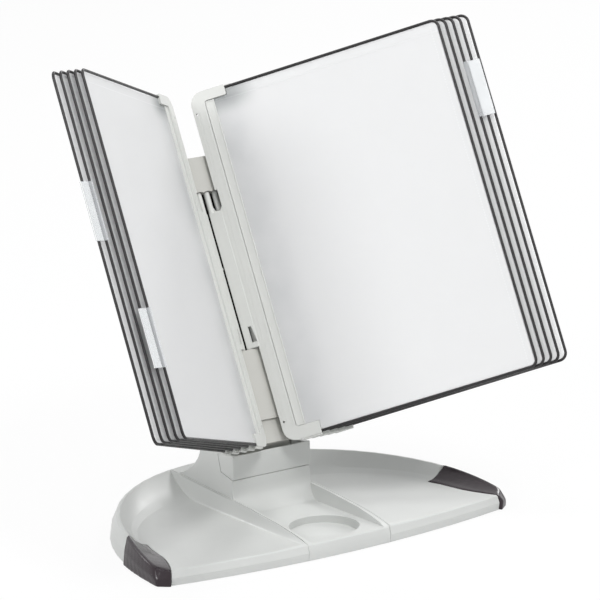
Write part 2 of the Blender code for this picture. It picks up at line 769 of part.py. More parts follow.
def column_body_mesh():
    """The rear shell, hollow behind the hinge barrels and solid behind the lower cover."""
    section = rounded_section(COLUMN_HALF_WIDTH, -COLUMN_FRONT, COLUMN_BACK,
                              COLUMN_EDGE_ROUND, COLUMN_BACK_ROUND)
    body = prism("column_body", section, "Z", COLUMN_FOOT, CAP_FOOT - GAP)
    inner_half, inner_back = COLUMN_HALF_WIDTH - COLUMN_WALL, COLUMN_BACK - COLUMN_WALL
    inside = rounded_section(inner_half, CUT_OVERRUN - COLUMN_FRONT, inner_back,
                             COLUMN_EDGE_ROUND, COLUMN_BACK_ROUND - COLUMN_WALL)
    hollow = prism("hollow", inside, "Z", COVER_TOP + COLUMN_WALL, CAP_FOOT - COLUMN_WALL)
    return cut(body, [hollow])


def hinge_places():
    """Each hinge's side, number and place across, counted from the middle."""
    places = []
    for side, sign in (("R", 1.0), ("L", -1.0)):
        for number in range(1, PANELS_PER_SIDE + 1):
            places.append((side, number, sign * HINGE_PITCH * (number - 0.5)))
    return places


def at_hinges(name, mesh):
    return together(name, [moved(mesh, Matrix.Translation((x, 0.0, 0.0))) for _, _, x in hinge_places()])


def pin_hole(start, end):
    return turned("pin_hole", rod(BARREL_PIN_RADIUS + GAP, start, end), ROUND_SIDES)


def column_cap_mesh():
    """The top cover: ten arches along its lower edge, with a pin hole over each."""
    section = rounded_section(COLUMN_HALF_WIDTH, COVER_FRONT, COLUMN_BACK,
                              COVER_EDGE_ROUND, COLUMN_BACK_ROUND)
    shrunk = 1.0 - CAP_CROWN / COLUMN_HALF_WIDTH
    top = CAP_FOOT + CAP_HEIGHT
    rings = [[(x, y, CAP_FOOT) for x, y in section], [(x, y, top - CAP_CROWN) for x, y in section]]
    rings.append([(x * shrunk, mix(COLUMN_BACK / 2, y, shrunk), top) for x, y in section])
    cover = loft("column_cap", rings)
    arch = turned("arch", rod(ARCH_RADIUS, -COLUMN_FRONT, ARCH_RADIUS + CUT_OVERRUN), ROUND_SIDES + 4)
    arch.transform(Matrix.Translation((0.0, 0.0, CAP_FOOT)) @ Matrix.Rotation(math.pi / 2, 4, "X"))
    hole_end = CAP_FOOT + ARCH_RADIUS + BARREL_PIN_LENGTH + GAP
    return cut(cover, [at_hinges("arches", arch), at_hinges("pin_holes", pin_hole(CAP_FOOT, hole_end))])


def lower_cover_mesh():
    """The lower front cover, with the lower pin holes in its top edge."""
    section = rounded_section(COLUMN_HALF_WIDTH, COVER_FRONT, COLUMN_FRONT - GAP, COVER_EDGE_ROUND,
                              COLUMN_EDGE_ROUND)
    cover = prism("column_lower_cover", section, "Z", COLUMN_FOOT, COVER_TOP)
    foot = COVER_TOP - BARREL_PIN_LENGTH - GAP
    return cut(cover, [at_hinges("pin_holes", pin_hole(foot, COVER_TOP + CUT_OVERRUN))])


def barrel_mesh():
    """The hinge barrel: a pin at each end and a domed top that fits the cap's arch."""
    foot, shoulder = COVER_TOP + GAP, CAP_FOOT - GAP
    pin_foot = COVER_TOP - BARREL_PIN_LENGTH + GAP
    pin_top = CAP_FOOT + ARCH_RADIUS + BARREL_PIN_LENGTH - GAP
    profile = [(BARREL_PIN_RADIUS, pin_foot), (BARREL_PIN_RADIUS, foot), (BARREL_RADIUS, foot)]
    profile.append((BARREL_RADIUS, shoulder - GAP))
    last = math.acos(BARREL_PIN_RADIUS / DOME_RADIUS)
    for share in (0.0, 0.5, 1.0):
        angle = last * share
        profile.append((DOME_RADIUS * math.cos(angle), shoulder + DOME_RADIUS * math.sin(angle)))
    profile.append((BARREL_PIN_RADIUS, pin_top))
    return turned("barrel", profile, ROUND_SIDES)


def clip_outline():
    """The C-shaped clip's outline in the panel's plane."""
    left, inner = CLIP_OUTER, CLIP_OUTER + SPINE_WIDTH
    end = CLIP_OUTER + ARM_LENGTH
    low, high = -CLIP_UNDER_WIRE, PANEL_HEIGHT + CLIP_OVER_WIRE
    low_in, high_in = low + BOTTOM_ARM_WIDTH, high - TOP_ARM_WIDTH
    corner, small, tip = CLIP_CORNER, CLIP_INNER_CORNER, CLIP_INNER_CORNER / 2
    quarter = math.pi / 2
    points = arc_points(left + corner, low + corner, corner, -quarter, -2 * quarter, 5)
    points += arc_points(left + corner, high - corner, corner, 2 * quarter, quarter, 5)
    points += arc_points(end - tip, high - tip, tip, quarter, 0.0, 2)
    points += arc_points(end - tip, high_in + tip, tip, 0.0, -quarter, 2)
    points += arc_points(inner + small, high_in - small, small, quarter, 2 * quarter, 3)
    points += arc_points(inner + small, low_in + small, small, 2 * quarter, 3 * quarter, 3)
    points += arc_points(end - tip, low_in - tip, tip, quarter, 0.0, 2)
    points += arc_points(end - tip, low + tip, tip, 0.0, -quarter, 2)
    return points


def leaf_mesh():
    """The hinge leaf between barrel and spine."""
    reach = CLIP_OUTER + SPINE_WIDTH / 3
    outline = ((0.0, COVER_TOP + GAP * 2), (reach, COVER_TOP + GAP * 2), (reach, CAP_FOOT - CLIP_CORNER),
               (0.0, CAP_FOOT - CLIP_CORNER))
    return prism("leaf", outline, "Y", -LEAF_THICKNESS / 2, LEAF_THICKNESS / 2)


def notch_mesh():
    """The notch at the leaf's top, with a round bottom, beside the barrel."""
    start = BARREL_RADIUS + GAP
    radius = (NOTCH_END - start) / 2
    foot = CAP_FOOT - NOTCH_DEPTH + radius
    outline = arc_points(start + radius, foot, radius, -math.pi, 0.0, 6)
    outline += [(NOTCH_END, CAP_FOOT), (start, CAP_FOOT)]
    return prism("notch", outline, "Y", -CLIP_THICKNESS, CLIP_THICKNESS)


def leaf_trim_mesh():
    """What is taken off beside the barrel above the notch's foot."""
    foot = CAP_FOOT - NOTCH_DEPTH + (NOTCH_END - BARREL_RADIUS) / 2
    reach = BARREL_RADIUS + GAP * 2
    outline = ((0.0, foot), (reach, foot), (reach, CAP_FOOT), (0.0, CAP_FOOT))
    return prism("leaf_trim", outline, "Y", -LEAF_THICKNESS, LEAF_THICKNESS)


def window_mesh():
    """The small tapered window near the leaf's foot."""
    outline = [(WINDOW_START + WINDOW_WIDTH * a, WINDOW_FOOT + WINDOW_HEIGHT * b) for a, b in WINDOW_SHARES]
    return prism("window", outline, "Y", -CLIP_THICKNESS, CLIP_THICKNESS)


def across_panel(name, radius, x, z, sides):
    """A round tool square to the panel."""
    tool = turned(name, rod(radius, -CLIP_THICKNESS, CLIP_THICKNESS), sides)
    return moved(tool, Matrix.Translation((x, 0.0, z)) @ Matrix.Rotation(math.pi / 2, 4, "X"))


def wire_channels():
    """The two blind bores in the arm ends that hold the wire."""
    end = CLIP_OUTER + ARM_LENGTH
    length = rod(WIRE_RADIUS + GAP, end - CHANNEL_DEPTH, end + CUT_OVERRUN)
    bore = turned("channel", length, WIRE_SIDES)
    bore.transform(Matrix.Rotation(math.pi / 2, 4, "Y"))
    return [moved(bore, Matrix.Translation((0.0, 0.0, z))) for z in (0.0, PANEL_HEIGHT)]


def clip_mesh():
    """A panel's clip: spine, two arms, hinge leaf and barrel in one moulding."""
    body = prism("page_clip", clip_outline(), "Y", -CLIP_THICKNESS / 2, CLIP_THICKNESS / 2)
    leaf = cut(leaf_mesh(), [leaf_trim_mesh()])
    with_leaf = joined(body, [leaf])
    cuts = [notch_mesh(), window_mesh()] + wire_channels()
    for z in (RIVET_HOLE_FROM_END, PANEL_HEIGHT - RIVET_HOLE_FROM_END):
        cuts.append(across_panel("rivet_hole", RIVET_HOLE_RADIUS, CLIP_OUTER + RIVET_HOLE_IN, z, WIRE_SIDES))
    return joined(cut(with_leaf, cuts), [barrel_mesh()])


def wire_mesh():
    """The panel's wire: a U on its side, round its outer corners."""
    start = CLIP_OUTER + ARM_LENGTH - CHANNEL_DEPTH + GAP
    corner, quarter = WIRE_CORNER, math.pi / 2
    path = [(start, 0.0)]
    path += arc_points(PANEL_REACH - corner, corner, corner, -quarter, 0.0, 4)
    path += arc_points(PANEL_REACH - corner, PANEL_HEIGHT - corner, corner, 0.0, quarter, 4)
    path.append((start, PANEL_HEIGHT))
    rings = []
    for index, (x, z) in enumerate(path):
        before, after = path[max(index - 1, 0)], path[min(index + 1, len(path) - 1)]
        along = Vector((after[0] - before[0], 0.0, after[1] - before[1])).normalized()
        across = Vector((along.z, 0.0, -along.x))
        ring = []
        for side in range(WIRE_SIDES):
            angle = math.tau * side / WIRE_SIDES
            offset = across * math.cos(angle) + Vector((0.0, math.sin(angle), 0.0))
            ring.append(Vector((x, 0.0, z)) + offset * WIRE_RADIUS)
        rings.append(ring)
    return loft("page_wire", rings)


def sleeve_mesh():
    """The film pocket, notched round the clip's two arms."""
    inner, arm = CLIP_OUTER + SPINE_WIDTH + GAP, CLIP_OUTER + ARM_LENGTH + GAP
    outer = PANEL_REACH - WIRE_RADIUS - SLEEVE_TO_WIRE
    low, high = WIRE_RADIUS + GAP, PANEL_HEIGHT - WIRE_RADIUS - GAP
    low_in = BOTTOM_ARM_WIDTH - CLIP_UNDER_WIRE + GAP
    high_in = PANEL_HEIGHT + CLIP_OVER_WIRE - TOP_ARM_WIDTH - GAP
    small = CLIP_INNER_CORNER
    outline = ((inner, low_in + small), (inner + small, low_in), (arm, low_in), (arm, low),
               (outer - WIRE_CORNER / 2, low), (outer, low + WIRE_CORNER / 2),
               (outer, high - WIRE_CORNER / 2), (outer - WIRE_CORNER / 2, high), (arm, high),
               (arm, high_in), (inner + small, high_in), (inner, high_in - small))
    return prism("page_sleeve", outline, "Y", -SLEEVE_THICKNESS / 2, SLEEVE_THICKNESS / 2)


def tab_holder_mesh():
    """A clear holder: a ring that snaps on the wire and two fingers that grip the label."""
    inner = WIRE_RADIUS + GAP
    outer = inner + TAB_RING_WALL
    face = TAB_POCKET / 2 + TAB_FINGER
    root = math.asin(face / outer)
    opening = math.pi - TAB_SWIVEL
    first, last = opening - TAB_RING_OPENING, opening + TAB_RING_OPENING - math.tau
    outline = arc_points(0.0, 0.0, outer, first, root, 5)
    outline += [(TAB_WIDTH, face), (TAB_WIDTH, TAB_POCKET / 2), (outer + GAP, TAB_POCKET / 2)]
    outline += [(outer + GAP, -TAB_POCKET / 2), (TAB_WIDTH, -TAB_POCKET / 2), (TAB_WIDTH, -face)]
    outline += arc_points(0.0, 0.0, outer, -root, last, 4)
    outline += arc_points(0.0, 0.0, inner, last, first, 9)
    return prism("tab_holder", outline, "Z", 0.0, TAB_LENGTH)


def tab_label_mesh():
    start = WIRE_RADIUS + TAB_RING_WALL + GAP * 3
    half = TAB_LABEL_THICKNESS / 2
    outline = ((start, -half), (TAB_WIDTH, -half), (TAB_WIDTH, half), (start, half))
    return prism("tab_label", outline, "Z", GAP, TAB_LENGTH - GAP)


def rubber_foot_mesh():
    top = UNDERSIDE + FOOT_SEAT_DEPTH - GAP
    profile = ((FOOT_RADIUS - FOOT_DRAFT, 0.0), (FOOT_RADIUS, FOOT_DRAFT), (FOOT_RADIUS, top))
    return turned("rubber_foot", profile, ROUND_SIDES * 2)


def mirrored(mesh):
    """The left-hand copy of a right-hand piece."""
    copy = mesh.copy()
    copy.transform(Matrix.Diagonal((-1.0, 1.0, 1.0, 1.0)))
    copy.flip_normals()
    return copy


def build_base(shades):
    base = frame_empty("base_frame", None, (0.0, BASE_CENTRE_Y, 0.0), (0.0, 0.0, 0.0))
    add_piece("base_centre", base_centre_mesh(), shades["light"], base)
    tray = tray_mesh()
    add_piece("tray_left", mirrored(tray), shades["light"], base)
    add_piece("tray_right", tray, shades["light"], base)
    cap = end_cap_mesh()
    for name, mesh in (("end_cap_left", mirrored(cap)), ("end_cap_right", cap)):
        piece = add_piece(name, mesh, shades["dark"], base)
        rounding = piece.modifiers.new("edge_round", "BEVEL")
        rounding.width = CAP_EDGE_ROUND
        rounding.segments = 1
        rounding.limit_method = "ANGLE"
        rounding.angle_limit = SHADE_ANGLE
    places = [(sign * x, y) for sign in (-1.0, 1.0) for x, y in tray_foot_places()]
    places += [(0.0, y) for y in centre_foot_ys()]
    foot = rubber_foot_mesh()
    for number, (x, y) in enumerate(places, start=1):
        piece = add_piece(f"foot_{number}", foot, shades["rubber"], base)
        piece.location = (x, y, 0.0)
    return base


def build_tilt_parts(shades, base):
    add_piece("pivot_housing", housing_mesh(), shades["light"], base)
    shaft_half = BLOCK_HALF_WIDTH - SHAFT_END_WALL - GAP
    shaft = turned("tilt_shaft", rod(SHAFT_RADIUS, -shaft_half, shaft_half), ROUND_SIDES)
    add_piece("tilt_shaft", on_tilt_axis(shaft), shades["steel"], base)
    bore = SHAFT_RADIUS + GAP
    near = EYE_HALF_WIDTH + GAP
    far = near + WASHER_THICKNESS
    left = ring_mesh("friction_washer_left", WASHER_RADIUS, bore, -far, -near, ROUND_SIDES)
    add_piece("friction_washer_left", on_tilt_axis(left), shades["steel"], base)
    right = ring_mesh("friction_washer_right", WASHER_RADIUS, bore, near, far, ROUND_SIDES)
    add_piece("friction_washer_right", on_tilt_axis(right), shades["steel"], base)
    near = far + GAP
    far = near + SPRING_WASHER_THICKNESS
    spring = ring_mesh("spring_washer", WASHER_RADIUS, bore, near, far, ROUND_SIDES)
    add_piece("spring_washer", on_tilt_axis(spring), shades["steel"], base)
    near = far + GAP
    nut = ring_mesh("clamp_nut", NUT_ACROSS_CORNERS / 2, bore, near, near + NUT_THICKNESS, NUT_SIDES)
    add_piece("clamp_nut", on_tilt_axis(nut), shades["steel"], base)


def build_head(shades, base):
    axis_place = (0.0, BLOCK_FRONT_Y + TILT_BEHIND_FRONT, TILT_HEIGHT)
    tilt_axis = frame_empty("head_tilt_axis", base, axis_place, (-COLUMN_LEAN, 0.0, 0.0))
    row = frame_empty("hinge_row", tilt_axis, (0.0, -HINGE_ROW_FORWARD, HINGE_ROW_RISE), (0.0, 0.0, 0.0))
    add_piece("tilt_knuckle", knuckle_mesh(), shades["light"], row)
    add_piece("column_body", column_body_mesh(), shades["light"], row)
    add_piece("column_cap", column_cap_mesh(), shades["light"], row)
    add_piece("column_lower_cover", lower_cover_mesh(), shades["light"], row)
    return row


def build_panels(shades, row):
    """Ten panels: each turns on its own hinge, and a tab rides on the wire of three of them."""
    clip, wire, sleeve = clip_mesh(), wire_mesh(), sleeve_mesh()
    hinges = {}
    for side, number, x in hinge_places():
        angle = PANEL_ANGLE + PANEL_ANGLE_STEP * number
        turn = -angle if side == "R" else angle - math.pi
        hinge = frame_empty(f"panel_hinge_{side}{number}", row, (x, 0.0, 0.0), (0.0, 0.0, turn))
        hinges[side, number] = hinge
        add_piece(f"page_clip_{side}{number}", clip, shades["light"], hinge)
        add_piece(f"page_wire_{side}{number}", wire, shades["wire"], hinge)
        add_piece(f"page_sleeve_{side}{number}", sleeve, shades["film"], hinge)
    holder, label = tab_holder_mesh(), tab_label_mesh()
    for number, (side, panel, height) in enumerate(TAB_PLACES, start=1):
        swivel = TAB_SWIVEL if side == "R" else -TAB_SWIVEL
        place = (PANEL_REACH, 0.0, height)
        carrier = frame_empty(f"tab_slide_{number}", hinges[side, panel], place, (0.0, 0.0, swivel))
        holder_mesh = holder if side == "R" else turned_over(holder)
        add_piece(f"tab_holder_{number}", holder_mesh, shades["clear"], carrier)
        add_piece(f"tab_label_{number}", label, shades["paper"], carrier)


def turned_over(mesh):
    """A holder for the left side, whose ring opens the other way."""
    copy = mesh.copy()
    copy.transform(Matrix.Diagonal((1.0, -1.0, 1.0, 1.0)))
    copy.flip_normals()
    return copy


def build_stand():
    remove_old_objects()
    shades = {
        "light": light_grey_plastic(),
        "dark": dark_grey_plastic(),
        "wire": black_coated_wire(),
        "film": frosted_film(),
        "clear": clear_holder(),
        "paper": white_paper(),
        "steel": bare_steel(),
        "rubber": black_rubber(),
    }
    base = build_base(shades)
    build_tilt_parts(shades, base)
    row = build_head(shades, base)
    build_panels(shades, row)
    bpy.context.view_layer.update()


build_stand()
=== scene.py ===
"""Looks of the desktop reference display stand: finishes, soft edges, page films and studio.

Everything is in metres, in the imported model's frame. The frame gives the place of every piece.
"""
import json
import math

import bmesh
import bpy
from mathutils import Matrix, Vector

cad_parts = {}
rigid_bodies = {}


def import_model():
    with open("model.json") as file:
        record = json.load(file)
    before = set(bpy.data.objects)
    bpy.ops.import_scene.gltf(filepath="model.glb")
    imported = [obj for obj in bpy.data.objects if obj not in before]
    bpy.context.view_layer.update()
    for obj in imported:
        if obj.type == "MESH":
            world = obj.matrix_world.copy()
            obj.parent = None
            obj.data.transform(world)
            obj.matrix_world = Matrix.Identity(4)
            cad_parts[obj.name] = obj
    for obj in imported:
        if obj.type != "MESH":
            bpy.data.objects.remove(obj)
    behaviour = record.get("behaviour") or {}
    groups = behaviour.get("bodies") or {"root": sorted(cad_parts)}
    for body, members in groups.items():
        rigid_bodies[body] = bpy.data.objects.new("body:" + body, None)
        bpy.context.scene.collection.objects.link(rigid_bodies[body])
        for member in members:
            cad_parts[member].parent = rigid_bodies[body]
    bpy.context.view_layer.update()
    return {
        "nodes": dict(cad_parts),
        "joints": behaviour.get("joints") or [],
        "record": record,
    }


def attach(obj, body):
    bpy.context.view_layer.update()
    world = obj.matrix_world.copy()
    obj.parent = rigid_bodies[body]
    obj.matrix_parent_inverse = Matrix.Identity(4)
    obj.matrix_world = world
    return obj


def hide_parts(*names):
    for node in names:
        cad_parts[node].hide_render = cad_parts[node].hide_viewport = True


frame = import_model()

# Camera, fitted to the photograph's 600 by 600 frame
CAMERA_PLACE = Vector((-1.6134, -2.4174, 1.0213))
CAMERA_AIM = Vector((0.5403, 0.7951, -0.2756))
CAMERA_FOCAL_PIXELS = 3628.5
FRAME_PIXELS = 600
SENSOR_WIDTH = 36.0
VIEW_DEPTH = 100.0

# Studio: each lamp's place, width across and power
FLOOR_HALF = 14.0
FLOOR_DROP = 0.0002
FLOOR_WHITE = 0.92
FLOOR_COLOUR = (0.86, 0.86, 0.86, 1.0)
FLOOR_ROUGHNESS = 0.9
SKY_COLOUR = (0.97, 0.985, 1.0, 1.0)
SKY_STRENGTH = 0.39
WHITE = (1.0, 1.0, 1.0, 1.0)
STUDIO_AIM = Vector((0.0, 0.0, 0.18))
LAMPS = (
    ("front_top_lamp", Vector((0.1, -1.6, 2.5)), 0.9, 35.0),
    ("left_lamp", Vector((-2.6, -0.5, 1.5)), 0.9, 25.0),
    ("right_rear_lamp", Vector((2.2, 1.2, 1.6)), 0.9, 20.0),
    ("right_front_lamp", Vector((1.9, -1.9, 1.3)), 0.9, 7.0),
    ("ceiling_lamp", Vector((-0.3, 0.1, 3.0)), 0.9, 18.0),
    ("left_rear_edge_lamp", Vector((-1.0, 2.3, 1.5)), 0.4, 8.0),
)

# Finishes: noise scales are per metre, and depths of relief are in metres
NOISE_LOW, NOISE_HIGH = 0.3, 0.7
MOULD_DRIFT_SCALE = 14.0
MOULD_GLOSS_SCALE = 60.0
MOULD_GLOSS_SPREAD = 0.03
MOULD_GRAIN_SCALE = 2600.0
MOULD_GRAIN_DEPTH = 0.00004
# each moulding's two tones, roughness, strength of grain and specular level
MOULDINGS = {
    "light_grey_moulding": ((0.680, 0.686, 0.662), (0.645, 0.652, 0.630), 0.40, 0.10, 0.50),
    "base_moulding": ((0.620, 0.630, 0.614), (0.590, 0.600, 0.586), 0.36, 0.08, 0.50),
    # the column's copy of the light grey plastic: its warm tint is the plastic's own, its darker
    # tone is painted shade from the pages over it
    "column_moulding_with_painted_shade": ((0.520, 0.516, 0.484), (0.490, 0.487, 0.458), 0.42, 0.08, 0.50),
    "dark_grey_moulding": ((0.026, 0.017, 0.022), (0.020, 0.013, 0.017), 0.20, 0.03, 0.36),
    "foot_rubber": ((0.030, 0.030, 0.031), (0.022, 0.022, 0.023), 0.80, 0.50, 0.30),
}
WIRE_TONES = ((0.010, 0.009, 0.010), (0.016, 0.014, 0.015))
WIRE_TONE_SCALE, WIRE_GLOSS_SCALE, WIRE_RUN_SCALE = 90.0, 300.0, 700.0
WIRE_GLOSS = (0.30, 0.42)
WIRE_RUN_STRENGTH, WIRE_RUN_DEPTH = 0.25, 0.0001
WIRE_SPECULAR = 0.40
HOLDER_TONES = ((0.86, 0.88, 0.90), (0.80, 0.82, 0.84))
HOLDER_TONE_SCALE, HOLDER_GLOSS_SCALE = 40.0, 120.0
HOLDER_GLOSS = (0.06, 0.14)
HOLDER_VEIL = 0.30
CARD_TONES = ((0.90, 0.90, 0.89), (0.86, 0.86, 0.85))
CARD_TONE_SCALE, CARD_GLOSS_SCALE, CARD_FIBRE_SCALE = 900.0, 500.0, 1800.0
CARD_GLOSS = (0.68, 0.82)
CARD_FIBRE_STRENGTH, CARD_FIBRE_DEPTH = 0.3, 0.00003
STEEL_TONES = ((0.48, 0.48, 0.50), (0.40, 0.40, 0.42))
STEEL_TONE_SCALE, STEEL_GLOSS_SCALE = 120.0, 800.0
STEEL_GLOSS = (0.24, 0.36)

# Pocket film, in metres across from the hinge and up from the lower wire
FILM_CLEAR = (0.955, 0.957, 0.960)
# the film's painted shade colour and where it lies: in blotches near the spine, and in the top
# corner by the spine
FILM_PAINTED_SHADE = (0.790, 0.797, 0.808)
FILM_VEIL = 0.50
PAINTED_SHADE_START, PAINTED_SHADE_END = 0.029, 0.066
PAINTED_SHADE_SCALE = 26.0
PAINTED_SHADE_THINNEST = 0.25
CORNER_PAINTED_SHADE_START, CORNER_PAINTED_SHADE_END = 0.040, 0.004
SEAM_FROM_WIRE = 0.0085
SEAM_HALF_WIDTH = 0.0008
SEAM_BEAD_TURN = 2600.0
SEAM_BEAD_LEVEL = -0.2
SEAM_DULLNESS = 0.30
SEAM_VEIL = 0.06
FOLD_FROM_WIRE = 0.0110
FOLD_HALF_WIDTH = 0.0007
ARM_SHADE = (0.42, 0.44, 0.44)
ARM_SHADE_DEPTH = 0.85
ARM_SHADE_START, ARM_SHADE_TOP = 0.0260, 0.0090
ARM_SHADE_ACROSS, ARM_SHADE_END = 0.038, 0.070
FILM_GLOSS_SCALE, FILM_GLOSS = 25.0, (0.30, 0.42)
FILM_GRAIN_SCALE = 1500.0
FILM_GRAIN = 0.06
FILM_RELIEF_STRENGTH, FILM_RELIEF_DEPTH = 0.5, 0.00015

# Panels, in a panel's own frame: X across from the hinge, Z up the hinge, Y square to the page
SIDES = ("R", "L")
PANEL_NUMBERS = (1, 2, 3, 4, 5)
WIRE_SIDES = 16
WIRE_BEND = 0.0064
WIRE_BEND_STEPS = 8
POCKET_CELLS = (44, 60)
POCKET_THICKNESS = 0.0005
POCKET_BELLY = 0.0007
POCKET_SWELL_SHARE = 0.8
POCKET_WAVES, POCKET_WAVE_START = 2.3, 0.6
POCKET_WAVE_FADE, POCKET_EDGE_REACH = 7.0, 5.0
POCKET_TO_ARM = 0.0003
POCKET_NOTCH = 0.0093
STRIP_WIDTH = 0.0078
STRIP_THICKNESS = 0.0019
STRIP_BORDER = 0.0011
STRIP_SINK = STRIP_THICKNESS / 5
STRIP_FROM_END = 0.0095
STRIP_EASE = 0.00022
SPINE_MIDDLE = 0.1530
SPINE_RIBS = ((0.0112, 0.0007, 0.2700), (0.0138, 0.0008, 0.2780), (0.0186, 0.0012, 0.2860))
LEAF_MIDDLE = 0.1545
LEAF_THICKNESS = 0.0024
LEAF_RIBS = ((0.0042, 0.0007, 0.0960), (0.0060, 0.0007, 0.0985), (0.0077, 0.0008, 0.1010))
RIB_RISE = 0.0004
RIB_EASE_SHARE = 8
RIB_CREST = (0.55, 1.0, 0.995)
CLIP_EASE = 0.00055
KEEL_EASE = 0.0008
LEAF_EASE = 0.0005
KEEL_LOW = Vector((0.0235, -0.00145, -0.0036))
KEEL_HIGH = Vector((0.0402, 0.00145, -0.0014))
LEAF_FACE_LOW = Vector((-0.0021, -0.0026, 0.0838))
LEAF_FACE_HIGH = Vector((0.0090, -0.0009, 0.2046))
WINDOW_LOW = Vector((0.0037, -0.0040, 0.0884))
WINDOW_HIGH = Vector((0.0085, 0.0020, 0.1022))
WINDOW_TAPER = 0.58
WINDOW_LEAN = -0.0010
PANEL_PIECES = (
    ("moulded_clip", "light_grey_plastic", "page_clip"),
    ("bent_wire", "black_coated_wire", "page_wire"),
    ("pocket_film", "frosted_film", "page_sleeve"),
    ("binding_strip", "light_grey_plastic", None),
    ("leaf_face", "light_grey_plastic", None),
)

# Column, in its own frame: X across, Y to its back, Z up along the hinge barrels
BASE_NODES = ("base_centre", "tray_left", "tray_right", "pivot_housing")
COLUMN_NODES = ("column_body", "column_cap", "column_lower_cover", "tilt_knuckle")
CAP_LOW = Vector((-0.0410, -0.0035, 0.2230))
CAP_HIGH = Vector((0.0410, 0.0220, 0.2550))
CAP_FRONT_ROUND, CAP_FRONT_STEPS = 0.0025, 5
CAP_BACK_ROUND, CAP_BACK_STEPS = 0.0080, 8
CAP_CROWN, CAP_CROWN_STEPS = 0.0014, 4
HINGE_PITCH = 0.0080
HINGE_COUNT = 10
SCALLOP_RISE = 0.0011
SCALLOP_CUTTER = Vector((0.0900, 0.0082, 0.0080))
SCALLOP_CELLS = 180
ROD_SIDES = 32
SOCKET_RADIUS, SOCKET_TOP = 0.0030, 0.2266
PIN_RADIUS, PIN_TOP = 0.0018, 0.2325
SKIRT_LOW = Vector((-0.0385, -0.0012, 0.0020))
SKIRT_HIGH = Vector((0.0385, 0.0049, 0.0218))
# a dark sheet behind the hinge barrels: painted shade, where the column's hollow is only in shadow
SHADE_SHEET_LOW = Vector((-0.0384, 0.0040, 0.0835))
SHADE_SHEET_HIGH = Vector((0.0384, 0.0047, 0.2227))
STAY_LOW = Vector((-0.0011, 0.0014, 0.1550))
STAY_HIGH = Vector((0.0011, 0.0044, 0.1570))
PLATE_EASE = 0.0004

# Softened edges
SHARP_EDGE = math.radians(35.0)
SHALLOW_CREASE = math.radians(13.0)
CAP_SKIN = 0.0007
CAP_FRONT_INNER = Vector((0.1660, -0.1046, 0.0))
CAP_FRONT_OUTER = Vector((0.1758, -0.0972, 0.0))
CAP_FRONT_BLOCK = 0.0600
CAP_ROUNDING, CAP_ROUNDING_STEPS = 0.5, 14
MERGE_REACH = 0.00001
FLAT_ENOUGH = math.radians(0.6)
FACING = 0.9
UPRIGHT = 0.01
SLACK = 0.0001
HOLDER_EASE = 0.00012
SOFT_EDGES = (
    ("base_centre", 0.0007, SHARP_EDGE),
    ("tray_left", 0.0006, SHALLOW_CREASE),
    ("tray_right", 0.0006, SHALLOW_CREASE),
    ("pivot_housing", 0.0007, SHARP_EDGE),
    ("tilt_knuckle", 0.0006, SHARP_EDGE),
    ("column_body", 0.0006, SHARP_EDGE),
    ("column_lower_cover", 0.0005, SHARP_EDGE),
)


def deselect_all():
    """Nothing is selected or active."""
    for item in bpy.context.view_layer.objects:
        item.select_set(False)
    bpy.context.view_layer.objects.active = None


def take_up(piece):
    """Only this piece is selected and active."""
    deselect_all()
    piece.select_set(True)
    bpy.context.view_layer.objects.active = piece


def settle(piece):
    """The piece's place, turn and size go into its mesh."""
    take_up(piece)
    bpy.ops.object.transform_apply(location=True, rotation=True, scale=True)


def pick_faces(piece, wanted):
    """In edit mode, selects the faces for which wanted(centre, normal) is true."""
    shape = bmesh.from_edit_mesh(piece.data)
    for face in shape.faces:
        face.select_set(bool(wanted(face.calc_center_median(), face.normal)))
    shape.select_flush_mode()
    bmesh.update_edit_mesh(piece.data)


def pick_edges(piece, wanted):
    """In edit mode, selects the edges for which wanted(start, end) is true."""
    shape = bmesh.from_edit_mesh(piece.data)
    for face in shape.faces:
        face.select_set(False)
    for edge in shape.edges:
        edge.select_set(bool(wanted(edge.verts[0].co, edge.verts[1].co)))
    bmesh.update_edit_mesh(piece.data)


def ease_edges(piece, width, segments, sharp):
    """A bevel on the edges sharper than an angle, and shading that stays flat on flat faces."""
    take_up(piece)
    bevel = piece.modifiers.new("eased_edges", "BEVEL")
    bevel.width = width
    bevel.segments = segments
    bevel.limit_method = "ANGLE"
    bevel.angle_limit = sharp
    bevel.use_clamp_overlap = True
    bpy.ops.object.modifier_apply(modifier=bevel.name)
    shade_by_angle(piece, sharp)


def shade_by_angle(piece, sharp):
    """Smooth shading across soft edges only, in which the large flat faces stay flat."""
    take_up(piece)
    bpy.ops.object.shade_smooth_by_angle(angle=sharp)
    weighted = piece.modifiers.new("flat_faces_first", "WEIGHTED_NORMAL")
    weighted.keep_sharp = True
    bpy.ops.object.modifier_apply(modifier=weighted.name)


def copy_of_node(node_name, piece_name):
    """A merged copy of a CAD node's triangles, with its flat faces made whole."""
    mesh = frame["nodes"][node_name].data.copy()
    mesh.materials.clear()
    piece = bpy.data.objects.new(piece_name, mesh)
    bpy.context.scene.collection.objects.link(piece)
    take_up(piece)
    bpy.ops.object.mode_set(mode="EDIT")
    bpy.ops.mesh.select_all(action="SELECT")
    bpy.ops.mesh.remove_doubles(threshold=MERGE_REACH)
    bpy.ops.mesh.dissolve_limited(angle_limit=FLAT_ENOUGH)
    bpy.ops.object.mode_set(mode="OBJECT")
    return piece


def hand_over(piece, material, body, slot, *nodes):
    """The finished piece gets its finish and rides on its body in place of the nodes."""
    piece.data.materials.clear()
    piece.data.materials.append(material)
    if nodes:
        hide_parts(*nodes)
    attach(piece, body)


